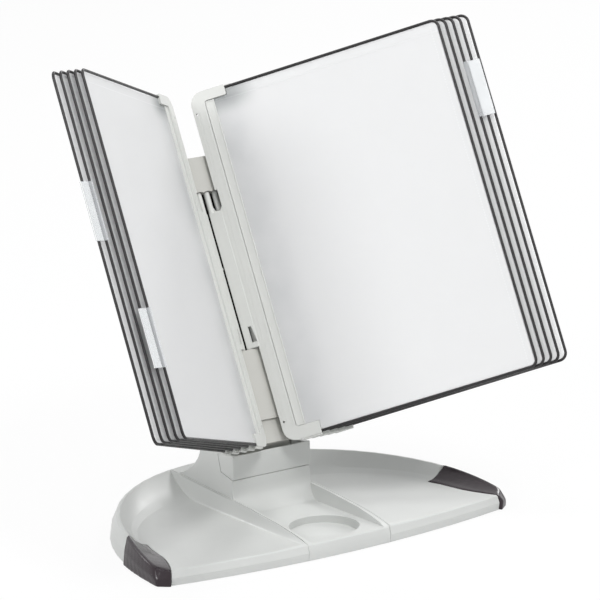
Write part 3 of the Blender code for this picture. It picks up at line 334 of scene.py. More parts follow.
def panel_place(side, number):
    """The matrix from a panel's own frame to the stand's frame."""
    word = "right" if side == "R" else "left"
    joint = next(j for j in frame["joints"] if j["name"] == f"{word}_panel_{number}_turn")
    up, hinge = Vector(joint["axis"]), Vector(joint["pos_m"])
    corners = [corner.co for corner in frame["nodes"][f"page_wire_{side}{number}"].data.vertices]
    across = sum(corners, Vector()) / len(corners) - hinge
    across = (across - up * across.dot(up)).normalized()
    turn = Matrix((across, up.cross(across), up)).transposed().to_4x4()
    return Matrix.Translation(hinge) @ turn


def box_in_panel(node_name, place):
    """Lowest and highest corner of a CAD node in a panel's own frame."""
    back = place.inverted()
    points = [back @ corner.co for corner in frame["nodes"][node_name].data.vertices]
    low = Vector([min(point[axis] for point in points) for axis in range(3)])
    high = Vector([max(point[axis] for point in points) for axis in range(3)])
    return low, high


def node_tree(name):
    """A new material with one Principled shader and an output, and its node tree."""
    material = bpy.data.materials.new(name)
    material.use_nodes = True
    return material, material.node_tree, material.node_tree.nodes["Principled BSDF"]


def add_node(tree, kind, **settings):
    """A new node with its settings."""
    node = tree.nodes.new(kind)
    for key, value in settings.items():
        setattr(node, key, value)
    return node


def object_place(tree):
    """Where a point lies on the piece."""
    return add_node(tree, "ShaderNodeTexCoord").outputs["Object"]


def noise(tree, place, scale, detail=2.0):
    """Fine or coarse unevenness all through the material."""
    node = add_node(tree, "ShaderNodeTexNoise")
    node.inputs["Scale"].default_value = scale
    node.inputs["Detail"].default_value = detail
    tree.links.new(place, node.inputs["Vector"])
    return node.outputs["Fac"]


def spread(tree, value, low, high):
    """A noise value, most of which lies in a narrow band, mapped to a range."""
    node = add_node(tree, "ShaderNodeMapRange")
    node.inputs["From Min"].default_value = NOISE_LOW
    node.inputs["From Max"].default_value = NOISE_HIGH
    node.inputs["To Min"].default_value = low
    node.inputs["To Max"].default_value = high
    tree.links.new(value, node.inputs["Value"])
    return node.outputs["Result"]


def two_tone(tree, value, first, second):
    """A colour between two, where 0 is the first."""
    node = add_node(tree, "ShaderNodeMix", data_type="RGBA")
    node.inputs["A"].default_value = (*first, 1.0)
    node.inputs["B"].default_value = (*second, 1.0)
    tree.links.new(value, node.inputs["Factor"])
    return node.outputs["Result"]


def bump(tree, value, strength, depth):
    """A fine relief in the surface."""
    node = add_node(tree, "ShaderNodeBump")
    node.inputs["Strength"].default_value = strength
    node.inputs["Distance"].default_value = depth
    tree.links.new(value, node.inputs["Height"])
    return node.outputs["Normal"]


def drifting_colour(tree, shader, texture, first, second):
    """Two close tones that drift into each other over the piece."""
    drift = spread(tree, texture, 0.0, 1.0)
    tree.links.new(two_tone(tree, drift, first, second), shader.inputs["Base Color"])


def uneven_gloss(tree, shader, texture, low, high):
    """The roughness drifts between two values with a noise."""
    tree.links.new(spread(tree, texture, low, high), shader.inputs["Roughness"])


def fine_relief(tree, shader, texture, strength, depth):
    """A shallow bump from a height."""
    tree.links.new(bump(tree, texture, strength, depth), shader.inputs["Normal"])


def moulded_plastic(name):
    """A moulding: faint colour drift, uneven gloss and a fine spark-eroded grain."""
    colour, shade, roughness, grain, specular = MOULDINGS[name]
    material, tree, shader = node_tree(name)
    place = object_place(tree)
    drifting_colour(tree, shader, noise(tree, place, MOULD_DRIFT_SCALE, 3.0), colour, shade)
    uneven_gloss(tree, shader, noise(tree, place, MOULD_GLOSS_SCALE),
                 roughness - MOULD_GLOSS_SPREAD, roughness + MOULD_GLOSS_SPREAD)
    fine_relief(tree, shader, noise(tree, place, MOULD_GRAIN_SCALE), grain, MOULD_GRAIN_DEPTH)
    shader.inputs["Specular IOR Level"].default_value = specular
    return material


def coated_wire():
    """Steel wire under a dark coat with slight runs in it."""
    material, tree, shader = node_tree("coated_wire")
    place = object_place(tree)
    drifting_colour(tree, shader, noise(tree, place, WIRE_TONE_SCALE), *WIRE_TONES)
    uneven_gloss(tree, shader, noise(tree, place, WIRE_GLOSS_SCALE), *WIRE_GLOSS)
    fine_relief(tree, shader, noise(tree, place, WIRE_RUN_SCALE), WIRE_RUN_STRENGTH, WIRE_RUN_DEPTH)
    shader.inputs["Specular IOR Level"].default_value = WIRE_SPECULAR
    return material


def clear_holder():
    """The index tabs' clear plastic, slightly clouded."""
    material, tree, shader = node_tree("clear_tab_holder")
    place = object_place(tree)
    drifting_colour(tree, shader, noise(tree, place, HOLDER_TONE_SCALE), *HOLDER_TONES)
    uneven_gloss(tree, shader, noise(tree, place, HOLDER_GLOSS_SCALE), *HOLDER_GLOSS)
    shader.inputs["Alpha"].default_value = HOLDER_VEIL
    return material


def label_card():
    """White card with a faint fibre."""
    material, tree, shader = node_tree("label_card")
    place = object_place(tree)
    drifting_colour(tree, shader, noise(tree, place, CARD_TONE_SCALE, 4.0), *CARD_TONES)
    uneven_gloss(tree, shader, noise(tree, place, CARD_GLOSS_SCALE), *CARD_GLOSS)
    fine_relief(tree, shader, noise(tree, place, CARD_FIBRE_SCALE, 3.0),
                CARD_FIBRE_STRENGTH, CARD_FIBRE_DEPTH)
    return material


def turned_steel():
    """Bare steel of the tilt joint."""
    material, tree, shader = node_tree("turned_steel")
    place = object_place(tree)
    drifting_colour(tree, shader, noise(tree, place, STEEL_TONE_SCALE), *STEEL_TONES)
    uneven_gloss(tree, shader, noise(tree, place, STEEL_GLOSS_SCALE), *STEEL_GLOSS)
    shader.inputs["Metallic"].default_value = 1.0
    return material


def calculate(tree, operation, first, second):
    """A sum, product or other step on values or sockets."""
    node = add_node(tree, "ShaderNodeMath", operation=operation)
    for socket, value in zip(node.inputs, (first, second)):
        if isinstance(value, float):
            socket.default_value = value
        elif value is not None:
            tree.links.new(value, socket)
    return node.outputs["Value"]


def fade(tree, value, start, end):
    """0 before start and 1 after end, with a soft change between them."""
    node = add_node(tree, "ShaderNodeMapRange", interpolation_type="SMOOTHSTEP")
    node.inputs["From Min"].default_value = start
    node.inputs["From Max"].default_value = end
    tree.links.new(value, node.inputs["Value"])
    return node.outputs["Result"]


def line_at(tree, value, place, half_width):
    """1 on a line across a coordinate, fading to 0 at its two sides."""
    away = calculate(tree, "ABSOLUTE", calculate(tree, "SUBTRACT", value, place), None)
    return calculate(tree, "SUBTRACT", 1.0, fade(tree, away, half_width / 3, half_width))


def page_coordinates(tree):
    """Metres across the page from its hinge and up from its lower wire, from the piece's UV map."""
    page = add_node(tree, "ShaderNodeUVMap", uv_map="page_metres").outputs["UV"]
    split = add_node(tree, "ShaderNodeSeparateXYZ")
    tree.links.new(page, split.inputs["Vector"])
    return split.outputs["X"], split.outputs["Y"]


def film_relief(tree, across, up, outer, top):
    """The beaded weld beside the outer wire, and the fold below the top wire."""
    seam = line_at(tree, across, outer - SEAM_FROM_WIRE, SEAM_HALF_WIDTH)
    row = calculate(tree, "SINE", calculate(tree, "MULTIPLY", up, SEAM_BEAD_TURN), None)
    beads = calculate(tree, "GREATER_THAN", row, SEAM_BEAD_LEVEL)
    fold = line_at(tree, up, top - FOLD_FROM_WIRE, FOLD_HALF_WIDTH)
    return calculate(tree, "MAXIMUM", calculate(tree, "MULTIPLY", seam, beads), fold)


def shade_of_arm(tree, across, up, top):
    """How much the top arm darkens the film below it."""
    below = fade(tree, up, top - ARM_SHADE_START, top - ARM_SHADE_TOP)
    beside = calculate(tree, "SUBTRACT", 1.0, fade(tree, across, ARM_SHADE_ACROSS, ARM_SHADE_END))
    return calculate(tree, "MULTIPLY", calculate(tree, "MULTIPLY", below, ARM_SHADE_DEPTH), beside)


def frosted_film(outer, top):
    """Embossed pocket film: painted shade in blotches near the spine and in its top corner by the
    spine, a painted shadow below the top arm, with a welded seam and folds along its edges.
    """
    material, tree, shader = node_tree("frosted_pocket_film")
    place = object_place(tree)
    across, up = page_coordinates(tree)
    relief = film_relief(tree, across, up, outer, top)
    # painted shade: darker in blotches near the spine and in the top corner by the spine, joined
    # with the seam's own dullness
    near_spine = calculate(tree, "SUBTRACT", 1.0, fade(tree, across, PAINTED_SHADE_START, PAINTED_SHADE_END))
    shade_patches = spread(tree, noise(tree, place, PAINTED_SHADE_SCALE), PAINTED_SHADE_THINNEST, 1.0)
    corner = fade(tree, up, top - CORNER_PAINTED_SHADE_START, top - CORNER_PAINTED_SHADE_END)
    painted_shade = calculate(tree, "MAXIMUM", calculate(tree, "MULTIPLY", near_spine, shade_patches),
                      calculate(tree, "MULTIPLY", corner, near_spine))
    shade_and_seam_dullness = calculate(tree, "MAXIMUM", painted_shade, calculate(tree, "MULTIPLY", relief, SEAM_DULLNESS))
    shaded = add_node(tree, "ShaderNodeMix", data_type="RGBA")
    tree.links.new(shade_of_arm(tree, across, up, top), shaded.inputs["Factor"])
    tree.links.new(two_tone(tree, shade_and_seam_dullness, FILM_CLEAR, FILM_PAINTED_SHADE), shaded.inputs["A"])
    shaded.inputs["B"].default_value = (*ARM_SHADE, 1.0)
    tree.links.new(shaded.outputs["Result"], shader.inputs["Base Color"])
    uneven_gloss(tree, shader, noise(tree, place, FILM_GLOSS_SCALE), *FILM_GLOSS)
    grain = calculate(tree, "MULTIPLY", noise(tree, place, FILM_GRAIN_SCALE), FILM_GRAIN)
    fine_relief(tree, shader, calculate(tree, "ADD", relief, grain),
                FILM_RELIEF_STRENGTH, FILM_RELIEF_DEPTH)
    veil = calculate(tree, "ADD", calculate(tree, "MULTIPLY", relief, SEAM_VEIL), FILM_VEIL)
    tree.links.new(veil, shader.inputs["Alpha"])
    return material


def dress_nodes(finishes):
    """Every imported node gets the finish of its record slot."""
    for part in frame["record"]["subparts"]:
        node = frame["nodes"][part["node"]]
        node.data.materials.clear()
        node.data.materials.append(finishes[part["material_slot"]])


def stand_for(piece, node_name, finishes):
    """The piece takes the place, the body and the finish of a CAD node."""
    part = next(item for item in frame["record"]["subparts"] if item["node"] == node_name)
    slot = part["material_slot"]
    finish = finishes[slot]
    # the column's pieces get a darker copy of the light grey plastic, as painted shade from the
    # pages over them
    if node_name in COLUMN_NODES:
        finish = finishes["column"]
    if node_name in BASE_NODES:
        finish = finishes["base"]
    hand_over(piece, finish, body_of_node(node_name), slot, node_name)


def softened(node_name, width, segments, sharp, finishes):
    """A CAD piece with eased edges, which stands for it."""
    piece = copy_of_node(node_name, f"soft_{node_name}")
    ease_edges(piece, width, segments, sharp)
    stand_for(piece, node_name, finishes)


def cap_front_cutter(hand):
    """A block that ends at the upright plane of an end cap's front face."""
    along = CAP_FRONT_OUTER - CAP_FRONT_INNER
    outwards = Vector((along.y, -along.x, 0.0)).normalized()
    middle = (CAP_FRONT_INNER + CAP_FRONT_OUTER + outwards * CAP_FRONT_BLOCK) / 2
    deselect_all()
    bpy.ops.mesh.primitive_cube_add(
        size=CAP_FRONT_BLOCK, location=(hand * middle.x, middle.y, middle.z),
        rotation=(0.0, 0.0, hand * math.atan2(along.y, along.x)))
    block = bpy.context.object
    settle(block)
    return block


def rounded_cap(node_name, finishes):
    """An end cap with an upright front face, its corners and steps run smoothly into each other."""
    piece = copy_of_node(node_name, f"rounded_{node_name}")
    cut_away(piece, cap_front_cutter(-1.0 if node_name.endswith("left") else 1.0))
    skin = piece.modifiers.new("even_skin", "REMESH")
    skin.mode = "VOXEL"
    skin.voxel_size = CAP_SKIN
    ease = piece.modifiers.new("rounded_corners", "SMOOTH")
    ease.factor = CAP_ROUNDING
    ease.iterations = CAP_ROUNDING_STEPS
    bpy.ops.object.modifier_apply(modifier=skin.name)
    bpy.ops.object.modifier_apply(modifier=ease.name)
    bpy.ops.object.shade_smooth()
    stand_for(piece, node_name, finishes)


def body_of_node(node_name):
    """The body that a CAD node belongs to."""
    bodies = frame["record"]["behaviour"]["bodies"]
    return next(body for body, members in bodies.items() if node_name in members)


def bent_wire(place):
    """A page's wire: a round rod drawn out of the lower arm, bent at both corners and led back."""
    low, high = box_in_panel("page_wire_R1", place)
    radius = high.y
    reach, height = high.x - radius, high.z - radius
    deselect_all()
    bpy.ops.mesh.primitive_circle_add(
        vertices=WIRE_SIDES, radius=radius, fill_type="NGON",
        location=(low.x, 0.0, 0.0), rotation=(0.0, math.pi / 2, 0.0))
    wire = bpy.context.object
    settle(wire)
    bpy.ops.object.mode_set(mode="EDIT")
    bpy.ops.mesh.select_all(action="SELECT")
    draw_out((reach - WIRE_BEND - low.x, 0.0, 0.0))
    bend_up((reach - WIRE_BEND, 0.0, WIRE_BEND))
    draw_out((0.0, 0.0, height - WIRE_BEND * 2))
    bend_up((reach - WIRE_BEND, 0.0, height - WIRE_BEND))
    draw_out((low.x - reach + WIRE_BEND, 0.0, 0.0))
    bpy.ops.mesh.select_all(action="SELECT")
    bpy.ops.mesh.remove_doubles(threshold=MERGE_REACH)
    bpy.ops.mesh.normals_make_consistent(inside=False)
    bpy.ops.object.mode_set(mode="OBJECT")
    bpy.ops.object.shade_smooth_by_angle(angle=SHARP_EDGE)
    return wire


def draw_out(way):
    """The picked faces are drawn out by a way."""
    bpy.ops.mesh.extrude_region_move(TRANSFORM_OT_translate={"value": way})


def bend_up(centre):
    """The drawn end is led round a quarter of a turn."""
    bpy.ops.mesh.spin(steps=WIRE_BEND_STEPS, angle=math.pi / 2, center=centre, axis=(0.0, 1.0, 0.0))


def pocket_film(place):
    """A page's pocket: a film sheet cut out round the two arms, with a slight belly."""
    low, high = box_in_panel("page_sleeve_R1", place)
    clip_high = box_in_panel("page_clip_R1", place)[1]
    arm_end = clip_high.x + POCKET_TO_ARM
    middle = (low + high) / 2
    deselect_all()
    bpy.ops.mesh.primitive_grid_add(
        x_subdivisions=POCKET_CELLS[0], y_subdivisions=POCKET_CELLS[1], size=1.0,
        location=(middle.x, 0.0, middle.z), rotation=(math.pi / 2, 0.0, 0.0))
    film = bpy.context.object
    film.scale = (high.x - low.x, high.z - low.z, 1.0)
    settle(film)
    foot, head = POCKET_NOTCH, clip_high.z - POCKET_NOTCH
    bpy.ops.object.mode_set(mode="EDIT")
    for point, normal in (((arm_end, 0.0, 0.0), (1.0, 0.0, 0.0)),
                          ((0.0, 0.0, foot), (0.0, 0.0, 1.0)),
                          ((0.0, 0.0, head), (0.0, 0.0, 1.0))):
        bpy.ops.mesh.select_all(action="SELECT")
        bpy.ops.mesh.bisect(plane_co=point, plane_no=normal)
    bpy.ops.mesh.select_mode(type="FACE")
    pick_faces(film, lambda centre, normal: centre.x < arm_end and not foot < centre.z < head)
    bpy.ops.mesh.delete(type="FACE")
    bpy.ops.object.mode_set(mode="OBJECT")
    for corner in film.data.vertices:
        corner.co.y = belly(corner.co.x - low.x, corner.co.z - low.z, high - low)
    sheet = film.modifiers.new("film_thickness", "SOLIDIFY")
    sheet.thickness = POCKET_THICKNESS
    sheet.offset = 0.0
    bpy.ops.object.modifier_apply(modifier=sheet.name)
    bpy.ops.object.shade_smooth_by_angle(angle=SHARP_EDGE)
    write_page_metres(film)
    return film


def belly(across, up, size):
    """How far the film stands off its plane: most in the middle, with slow waves near the spine."""
    share_x, share_z = across / size.x, up / size.z
    swell = math.sin(math.pi * share_x) * math.sin(math.pi * share_z)
    wave = math.sin(math.tau * share_z * POCKET_WAVES + POCKET_WAVE_START)
    wave *= math.exp(-share_x * POCKET_WAVE_FADE) * math.sin(math.pi * share_z)
    edge = math.sin(math.pi * min(share_x * POCKET_EDGE_REACH, 1.0))
    return POCKET_BELLY * (swell * POCKET_SWELL_SHARE + wave * edge)


def write_page_metres(piece):
    """A UV map in metres across and up the page, for patterns that follow it."""
    layers = piece.data.uv_layers
    layer = layers.get("page_metres") or layers.new(name="page_metres")
    for corner in piece.data.loops:
        point = piece.data.vertices[corner.vertex_index].co
        layer.data[corner.index].uv = (point.x, point.z)


def binding_strip(place):
    """The pale strip that holds the film's edge beside the spine, sunk between two borders."""
    low = box_in_panel("page_sleeve_R1", place)[0]
    clip_high = box_in_panel("page_clip_R1", place)[1]
    foot, head = STRIP_FROM_END, clip_high.z - STRIP_FROM_END
    deselect_all()
    bpy.ops.mesh.primitive_cube_add(
        size=1.0, location=(low.x + STRIP_WIDTH / 2, 0.0, (foot + head) / 2))
    strip = bpy.context.object
    strip.scale = (STRIP_WIDTH, STRIP_THICKNESS, head - foot)
    settle(strip)
    bpy.ops.object.mode_set(mode="EDIT")
    bpy.ops.mesh.select_mode(type="FACE")
    for side in (-1.0, 1.0):
        pick_faces(strip, lambda centre, normal: normal.y * side > FACING)
        bpy.ops.mesh.inset(thickness=STRIP_BORDER)
        draw_out((0.0, -side * STRIP_SINK, 0.0))
    bpy.ops.object.mode_set(mode="OBJECT")
    ease_edges(strip, STRIP_EASE, 2, SHARP_EDGE)
    return strip


def raised_rib(middle, size):
    """A low rib with eased edges that is moulded on a clip."""
    deselect_all()
    bpy.ops.mesh.primitive_cube_add(size=1.0, location=middle)
    rib = bpy.context.object
    rib.scale = size
    settle(rib)
    bpy.ops.object.mode_set(mode="EDIT")
    bpy.ops.mesh.select_mode(type="FACE")
    for side in (-1.0, 1.0):
        pick_faces(rib, lambda centre, normal: normal.y * side > FACING)
        bpy.ops.transform.resize(value=RIB_CREST)
    bpy.ops.object.mode_set(mode="OBJECT")
    ease_edges(rib, size[0] / RIB_EASE_SHARE, 2, SHARP_EDGE)
    return rib


def moulded_clip(place):
    """A page's clip with eased edges, and the fine ribs along its spine and leaf."""
    clip = copy_of_node("page_clip_R1", "moulded_clip")
    clip.data.transform(place.inverted())
    ease_edges(clip, CLIP_EASE, 2, SHARP_EDGE)
    cut_away(clip, window_cutter())
    shade_by_angle(clip, SHARP_EDGE)
    spine = [corner.co for corner in clip.data.vertices if corner.co.x > SPINE_RIBS[0][0]]
    spine_thickness = max(point.y for point in spine) * 2
    ribs = []
    for rows, middle, thickness in ((SPINE_RIBS, SPINE_MIDDLE, spine_thickness),
                                    (LEAF_RIBS, LEAF_MIDDLE, LEAF_THICKNESS)):
        for across, width, length in rows:
            ribs.append(raised_rib((across, 0.0, middle), (width, thickness + RIB_RISE, length)))
    ribs.append(eased_block(KEEL_LOW, KEEL_HIGH, KEEL_EASE, 3))
    take_up(clip)
    for rib in ribs:
        rib.select_set(True)
    bpy.ops.object.join()
    return clip


def eased_block(low, high, width, segments):
    """A block between two corners with rounded edges."""
    deselect_all()
    bpy.ops.mesh.primitive_cube_add(size=1.0, location=(low + high) / 2)
    block = bpy.context.object
    block.scale = high - low
    settle(block)
    ease_edges(block, width, segments, SHARP_EDGE)
    return block


def window_cutter():
    """A tapered block that goes right through a clip's leaf."""
    deselect_all()
    bpy.ops.mesh.primitive_cube_add(size=1.0, location=(WINDOW_LOW + WINDOW_HIGH) / 2)
    window = bpy.context.object
    window.scale = WINDOW_HIGH - WINDOW_LOW
    settle(window)
    bpy.ops.object.mode_set(mode="EDIT")
    bpy.ops.mesh.select_mode(type="FACE")
    pick_faces(window, lambda centre, normal: normal.z > FACING)
    bpy.ops.transform.resize(value=(WINDOW_TAPER, 1.0, 1.0))
    bpy.ops.transform.translate(value=(WINDOW_LEAN, 0.0, 0.0))
    bpy.ops.object.mode_set(mode="OBJECT")
    return window


def leaf_face(side):
    """The flat face of a clip's leaf, flush with its barrel's front, with the tapered window."""
    face = eased_block(LEAF_FACE_LOW, LEAF_FACE_HIGH, LEAF_EASE, 3)
    cut_away(face, window_cutter())
    shade_by_angle(face, SHARP_EDGE)
    if side == "L":
        face.data.transform(Matrix.Scale(-1.0, 4, (0.0, 1.0, 0.0)))
        face.data.flip_normals()
    return face


def placed_copy(pattern, name, place):
    """A copy of a pattern with its own mesh, moved to its place."""
    piece = bpy.data.objects.new(name, pattern.data.copy())
    piece.data.transform(place)
    bpy.context.scene.collection.objects.link(piece)
    return piece


def panels(finishes):
    """All ten pages, each piece copied from one pattern."""
    first = panel_place("R", 1)
    patterns = {
        "moulded_clip": moulded_clip(first),
        "bent_wire": bent_wire(first),
        "pocket_film": pocket_film(first),
        "binding_strip": binding_strip(first),
    }
    for side in SIDES:
        patterns["leaf_face"] = leaf_face(side)
        for number in PANEL_NUMBERS:
            mark, place = f"{side}{number}", panel_place(side, number)
            for kind, slot, node_kind in PANEL_PIECES:
                copy = placed_copy(patterns[kind], f"{kind}_{mark}", place)
                nodes = [f"{node_kind}_{mark}"] if node_kind else []
                hand_over(copy, finishes[slot], f"panel_{mark}", slot, *nodes)
        bpy.data.objects.remove(patterns.pop("leaf_face"), do_unlink=True)
    for pattern in patterns.values():
        bpy.data.objects.remove(pattern, do_unlink=True)


def column_place():
    """The column's own frame: X across, Y to its back, Z up along the hinge barrels."""
    joint = next(j for j in frame["joints"] if j["name"] == "right_panel_1_turn")
    up, hinge = Vector(joint["axis"]), Vector(joint["pos_m"])
    across = Vector((1.0, 0.0, 0.0))
    turn = Matrix((across, up.cross(across), up)).transposed().to_4x4()
    return Matrix.Translation((0.0, hinge.y, hinge.z)) @ turn


def column_plate(name, low, high, finish, slot):
    """A plate on the column between two corners, sunk a little on its front."""
    deselect_all()
    bpy.ops.mesh.primitive_cube_add(size=1.0, location=(low + high) / 2)
    plate = bpy.context.object
    plate.name = name
    plate.scale = high - low
    settle(plate)
    bpy.ops.object.mode_set(mode="EDIT")
    bpy.ops.mesh.select_mode(type="FACE")
    pick_faces(plate, lambda centre, normal: normal.y < -FACING)
    bpy.ops.mesh.inset(thickness=PLATE_EASE * 2)
    draw_out((0.0, PLATE_EASE / 2, 0.0))
    bpy.ops.object.mode_set(mode="OBJECT")
    ease_edges(plate, PLATE_EASE / 4, 2, SHARP_EDGE)
    plate.data.transform(column_place())
    hand_over(plate, finish, "head", slot)


def scalloped_cutter():
    """A block whose top is a row of shallow arcs, one over each hinge barrel."""
    deselect_all()
    bpy.ops.mesh.primitive_grid_add(x_subdivisions=SCALLOP_CELLS, y_subdivisions=1, size=1.0)
    cutter = bpy.context.object
    cutter.scale = (SCALLOP_CUTTER.x, SCALLOP_CUTTER.y, 1.0)
    settle(cutter)
    for corner in cutter.data.vertices:
        share = ((corner.co.x / HINGE_PITCH) % 1.0 - 0.5) * 2
        corner.co.z = SCALLOP_RISE * math.sqrt(max(1.0 - share * share, 0.0))
    bpy.ops.object.mode_set(mode="EDIT")
    bpy.ops.mesh.select_all(action="SELECT")
    draw_out((0.0, 0.0, -SCALLOP_CUTTER.z))
    bpy.ops.mesh.select_all(action="SELECT")
    bpy.ops.mesh.normals_make_consistent(inside=False)
    bpy.ops.object.mode_set(mode="OBJECT")
    return cutter


def row_of_rods(radius, foot, head):
    """Ten upright rods, one on each hinge axis."""
    deselect_all()
    first = (0.5 - HINGE_COUNT / 2) * HINGE_PITCH
    bpy.ops.mesh.primitive_cylinder_add(
        vertices=ROD_SIDES, radius=radius, depth=head - foot,
        location=(first, 0.0, (foot + head) / 2))
    rods = bpy.context.object
    settle(rods)
    row = rods.modifiers.new("row", "ARRAY")
    row.count = HINGE_COUNT
    row.use_relative_offset = False
    row.use_constant_offset = True
    row.constant_offset_displace = (HINGE_PITCH, 0.0, 0.0)
    bpy.ops.object.modifier_apply(modifier=row.name)
    return rods


def cut_away(piece, cutter):
    """Takes the cutter's shape out of the piece, and takes the cutter away."""
    take_up(piece)
    cut = piece.modifiers.new("cut", "BOOLEAN")
    cut.operation = "DIFFERENCE"
    cut.solver = "EXACT"
    cut.object = cutter
    bpy.ops.object.modifier_apply(modifier=cut.name)
    bpy.data.objects.remove(cutter, do_unlink=True)


def socket_cap(finishes):
    """The column's cap, with a shallow scallop and a socket over every hinge barrel."""
    deselect_all()
    bpy.ops.mesh.primitive_cube_add(size=1.0, location=(CAP_LOW + CAP_HIGH) / 2)
    cap = bpy.context.object
    cap.name = "socket_cap"
    cap.scale = CAP_HIGH - CAP_LOW
    settle(cap)
    middle, front, crown = (CAP_LOW.y + CAP_HIGH.y) / 2, CAP_LOW.y + SLACK, CAP_HIGH.z - SLACK
    bpy.ops.object.mode_set(mode="EDIT")
    bpy.ops.mesh.select_mode(type="EDGE")
    pick_edges(cap, lambda start, end: abs(start.z - end.z) > UPRIGHT and start.y > middle)
    bpy.ops.mesh.bevel(offset=CAP_BACK_ROUND, segments=CAP_BACK_STEPS, affect="EDGES")
    pick_edges(cap, lambda start, end: abs(start.z - end.z) > UPRIGHT and start.y < front)
    bpy.ops.mesh.bevel(offset=CAP_FRONT_ROUND, segments=CAP_FRONT_STEPS, affect="EDGES")
    pick_edges(cap, lambda start, end: min(start.z, end.z) > crown)
    bpy.ops.mesh.bevel(offset=CAP_CROWN, segments=CAP_CROWN_STEPS, affect="EDGES")
    bpy.ops.object.mode_set(mode="OBJECT")
    cutter = scalloped_cutter()
    cutter.data.transform(Matrix.Translation((0.0, 0.0, CAP_LOW.z)))
    cut_away(cap, cutter)
    below = CAP_LOW.z - SCALLOP_CUTTER.z
    cut_away(cap, row_of_rods(SOCKET_RADIUS, below, SOCKET_TOP))
    cut_away(cap, row_of_rods(PIN_RADIUS, below, PIN_TOP))
    shade_by_angle(cap, SHARP_EDGE)
    cap.data.transform(column_place())
    stand_for(cap, "column_cap", finishes)


def column_details(finishes):
    """The cap, the skirt before the knuckle, a dark sheet behind the barrels as painted shade in
    the hollow, and their stay.
    """
    socket_cap(finishes)
    for name, low, high, finish, slot in (
            ("cover_skirt", SKIRT_LOW, SKIRT_HIGH, "column", "light_grey_plastic"),
            # painted shade: a dark sheet behind the barrels, where the hollow is only in shadow
            ("hinge_shade_sheet", SHADE_SHEET_LOW, SHADE_SHEET_HIGH, "dark_grey_plastic", "dark_grey_plastic"),
            ("column_stay", STAY_LOW, STAY_HIGH, "light_grey_plastic", "light_grey_plastic")):
        column_plate(name, low, high, finishes[finish], slot)


def rigid_pieces(finishes):
    """The base, pivot and column with eased edges, the end caps and the tabs' holders."""
    for name, width, sharp in SOFT_EDGES:
        softened(name, width, 2, sharp, finishes)
    for side in ("left", "right"):
        rounded_cap(f"end_cap_{side}", finishes)
    for number in (1, 2, 3):
        softened(f"tab_holder_{number}", HOLDER_EASE, 1, SHARP_EDGE, finishes)


def pale_floor():
    """The desk: a pale matt sheet that keeps the stand's shadow and reads white to the camera."""
    deselect_all()
    bpy.ops.mesh.primitive_plane_add(size=2.0, location=(0.0, 0.0, 0.0))
    floor = bpy.context.object
    floor.name = "studio_floor"
    floor.data.transform(Matrix.Translation((0.0, 0.0, -FLOOR_DROP)) @ Matrix.Scale(FLOOR_HALF, 4))
    material, tree, shader = node_tree("studio_floor_paper")
    shader.inputs["Base Color"].default_value = FLOOR_COLOUR
    shader.inputs["Roughness"].default_value = FLOOR_ROUGHNESS
    shader.inputs["Specular IOR Level"].default_value = 0.0
    glow = add_node(tree, "ShaderNodeEmission")
    glow.inputs["Strength"].default_value = 1.0
    blend = add_node(tree, "ShaderNodeMixShader")
    share = calculate(tree, "MULTIPLY", white_to_viewer(tree), FLOOR_WHITE)
    tree.links.new(share, blend.inputs["Fac"])
    tree.links.new(shader.outputs["BSDF"], blend.inputs[1])
    tree.links.new(glow.outputs["Emission"], blend.inputs[2])
    output = next(node for node in tree.nodes if node.type == "OUTPUT_MATERIAL")
    tree.links.new(blend.outputs["Shader"], output.inputs["Surface"])
    floor.data.materials.append(material)


def white_to_viewer(tree):
    """1 for rays from the camera, mirrored or seen through, so that all of them meet white."""
    path = add_node(tree, "ShaderNodeLightPath")
    total = path.outputs["Is Camera Ray"]
    for name in ("Is Glossy Ray", "Is Transmission Ray"):
        total = calculate(tree, "MAXIMUM", total, path.outputs[name])
    return total


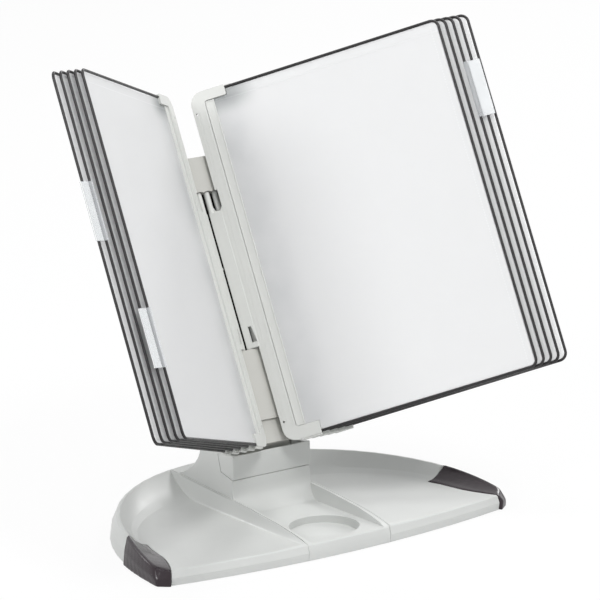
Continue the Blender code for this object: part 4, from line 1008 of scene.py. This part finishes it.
def studio_sky():
    """Dim even light from all round, which reads white to the camera."""
    world = bpy.data.worlds.new("studio_sky")
    bpy.context.scene.world = world
    world.use_nodes = True
    tree = world.node_tree
    sky = tree.nodes["Background"]
    sky.inputs["Color"].default_value = SKY_COLOUR
    sky.inputs["Strength"].default_value = SKY_STRENGTH
    white = add_node(tree, "ShaderNodeBackground")
    white.inputs["Color"].default_value = WHITE
    white.inputs["Strength"].default_value = 1.0
    blend = add_node(tree, "ShaderNodeMixShader")
    tree.links.new(white_to_viewer(tree), blend.inputs["Fac"])
    tree.links.new(sky.outputs["Background"], blend.inputs[1])
    tree.links.new(white.outputs["Background"], blend.inputs[2])
    output = next(node for node in tree.nodes if node.type == "OUTPUT_WORLD")
    tree.links.new(blend.outputs["Shader"], output.inputs["Surface"])


def soft_lamp(name, place, size, power):
    """A round lamp that points at the stand."""
    lamp = bpy.data.lights.new(name, "AREA")
    lamp.shape = "DISK"
    lamp.size = size
    lamp.energy = power
    holder = bpy.data.objects.new(name, lamp)
    bpy.context.scene.collection.objects.link(holder)
    holder.matrix_world = Matrix.Translation(place) @ facing(STUDIO_AIM - place)


def facing(direction):
    """The turn of a lamp or camera that looks along a direction."""
    return direction.to_track_quat("-Z", "Y").to_matrix().to_4x4()


def camera():
    """The photograph's viewpoint."""
    lens = bpy.data.cameras.new("viewpoint")
    lens.sensor_width = SENSOR_WIDTH
    lens.lens = CAMERA_FOCAL_PIXELS / FRAME_PIXELS * SENSOR_WIDTH
    lens.clip_end = VIEW_DEPTH
    holder = bpy.data.objects.new("viewpoint", lens)
    bpy.context.scene.collection.objects.link(holder)
    holder.matrix_world = Matrix.Translation(CAMERA_PLACE) @ facing(CAMERA_AIM)
    bpy.context.scene.camera = holder


def studio():
    """Floor, sky, lamps and camera."""
    pale_floor()
    studio_sky()
    for name, place, size, power in LAMPS:
        soft_lamp(name, place, size, power)
    camera()
    bpy.context.scene.view_settings.view_transform = "Standard"


page_high = box_in_panel("page_wire_R1", panel_place("R", 1))[1]
finishes = {
    "base": moulded_plastic("base_moulding"),
    "column": moulded_plastic("column_moulding_with_painted_shade"),
    "light_grey_plastic": moulded_plastic("light_grey_moulding"),
    "dark_grey_plastic": moulded_plastic("dark_grey_moulding"),
    "black_coated_wire": coated_wire(),
    "frosted_film": frosted_film(page_high.x, page_high.z),
    "clear_holder": clear_holder(),
    "white_paper": label_card(),
    "bare_steel": turned_steel(),
    "black_rubber": moulded_plastic("foot_rubber"),
}
dress_nodes(finishes)
rigid_pieces(finishes)
panels(finishes)
column_details(finishes)
studio()
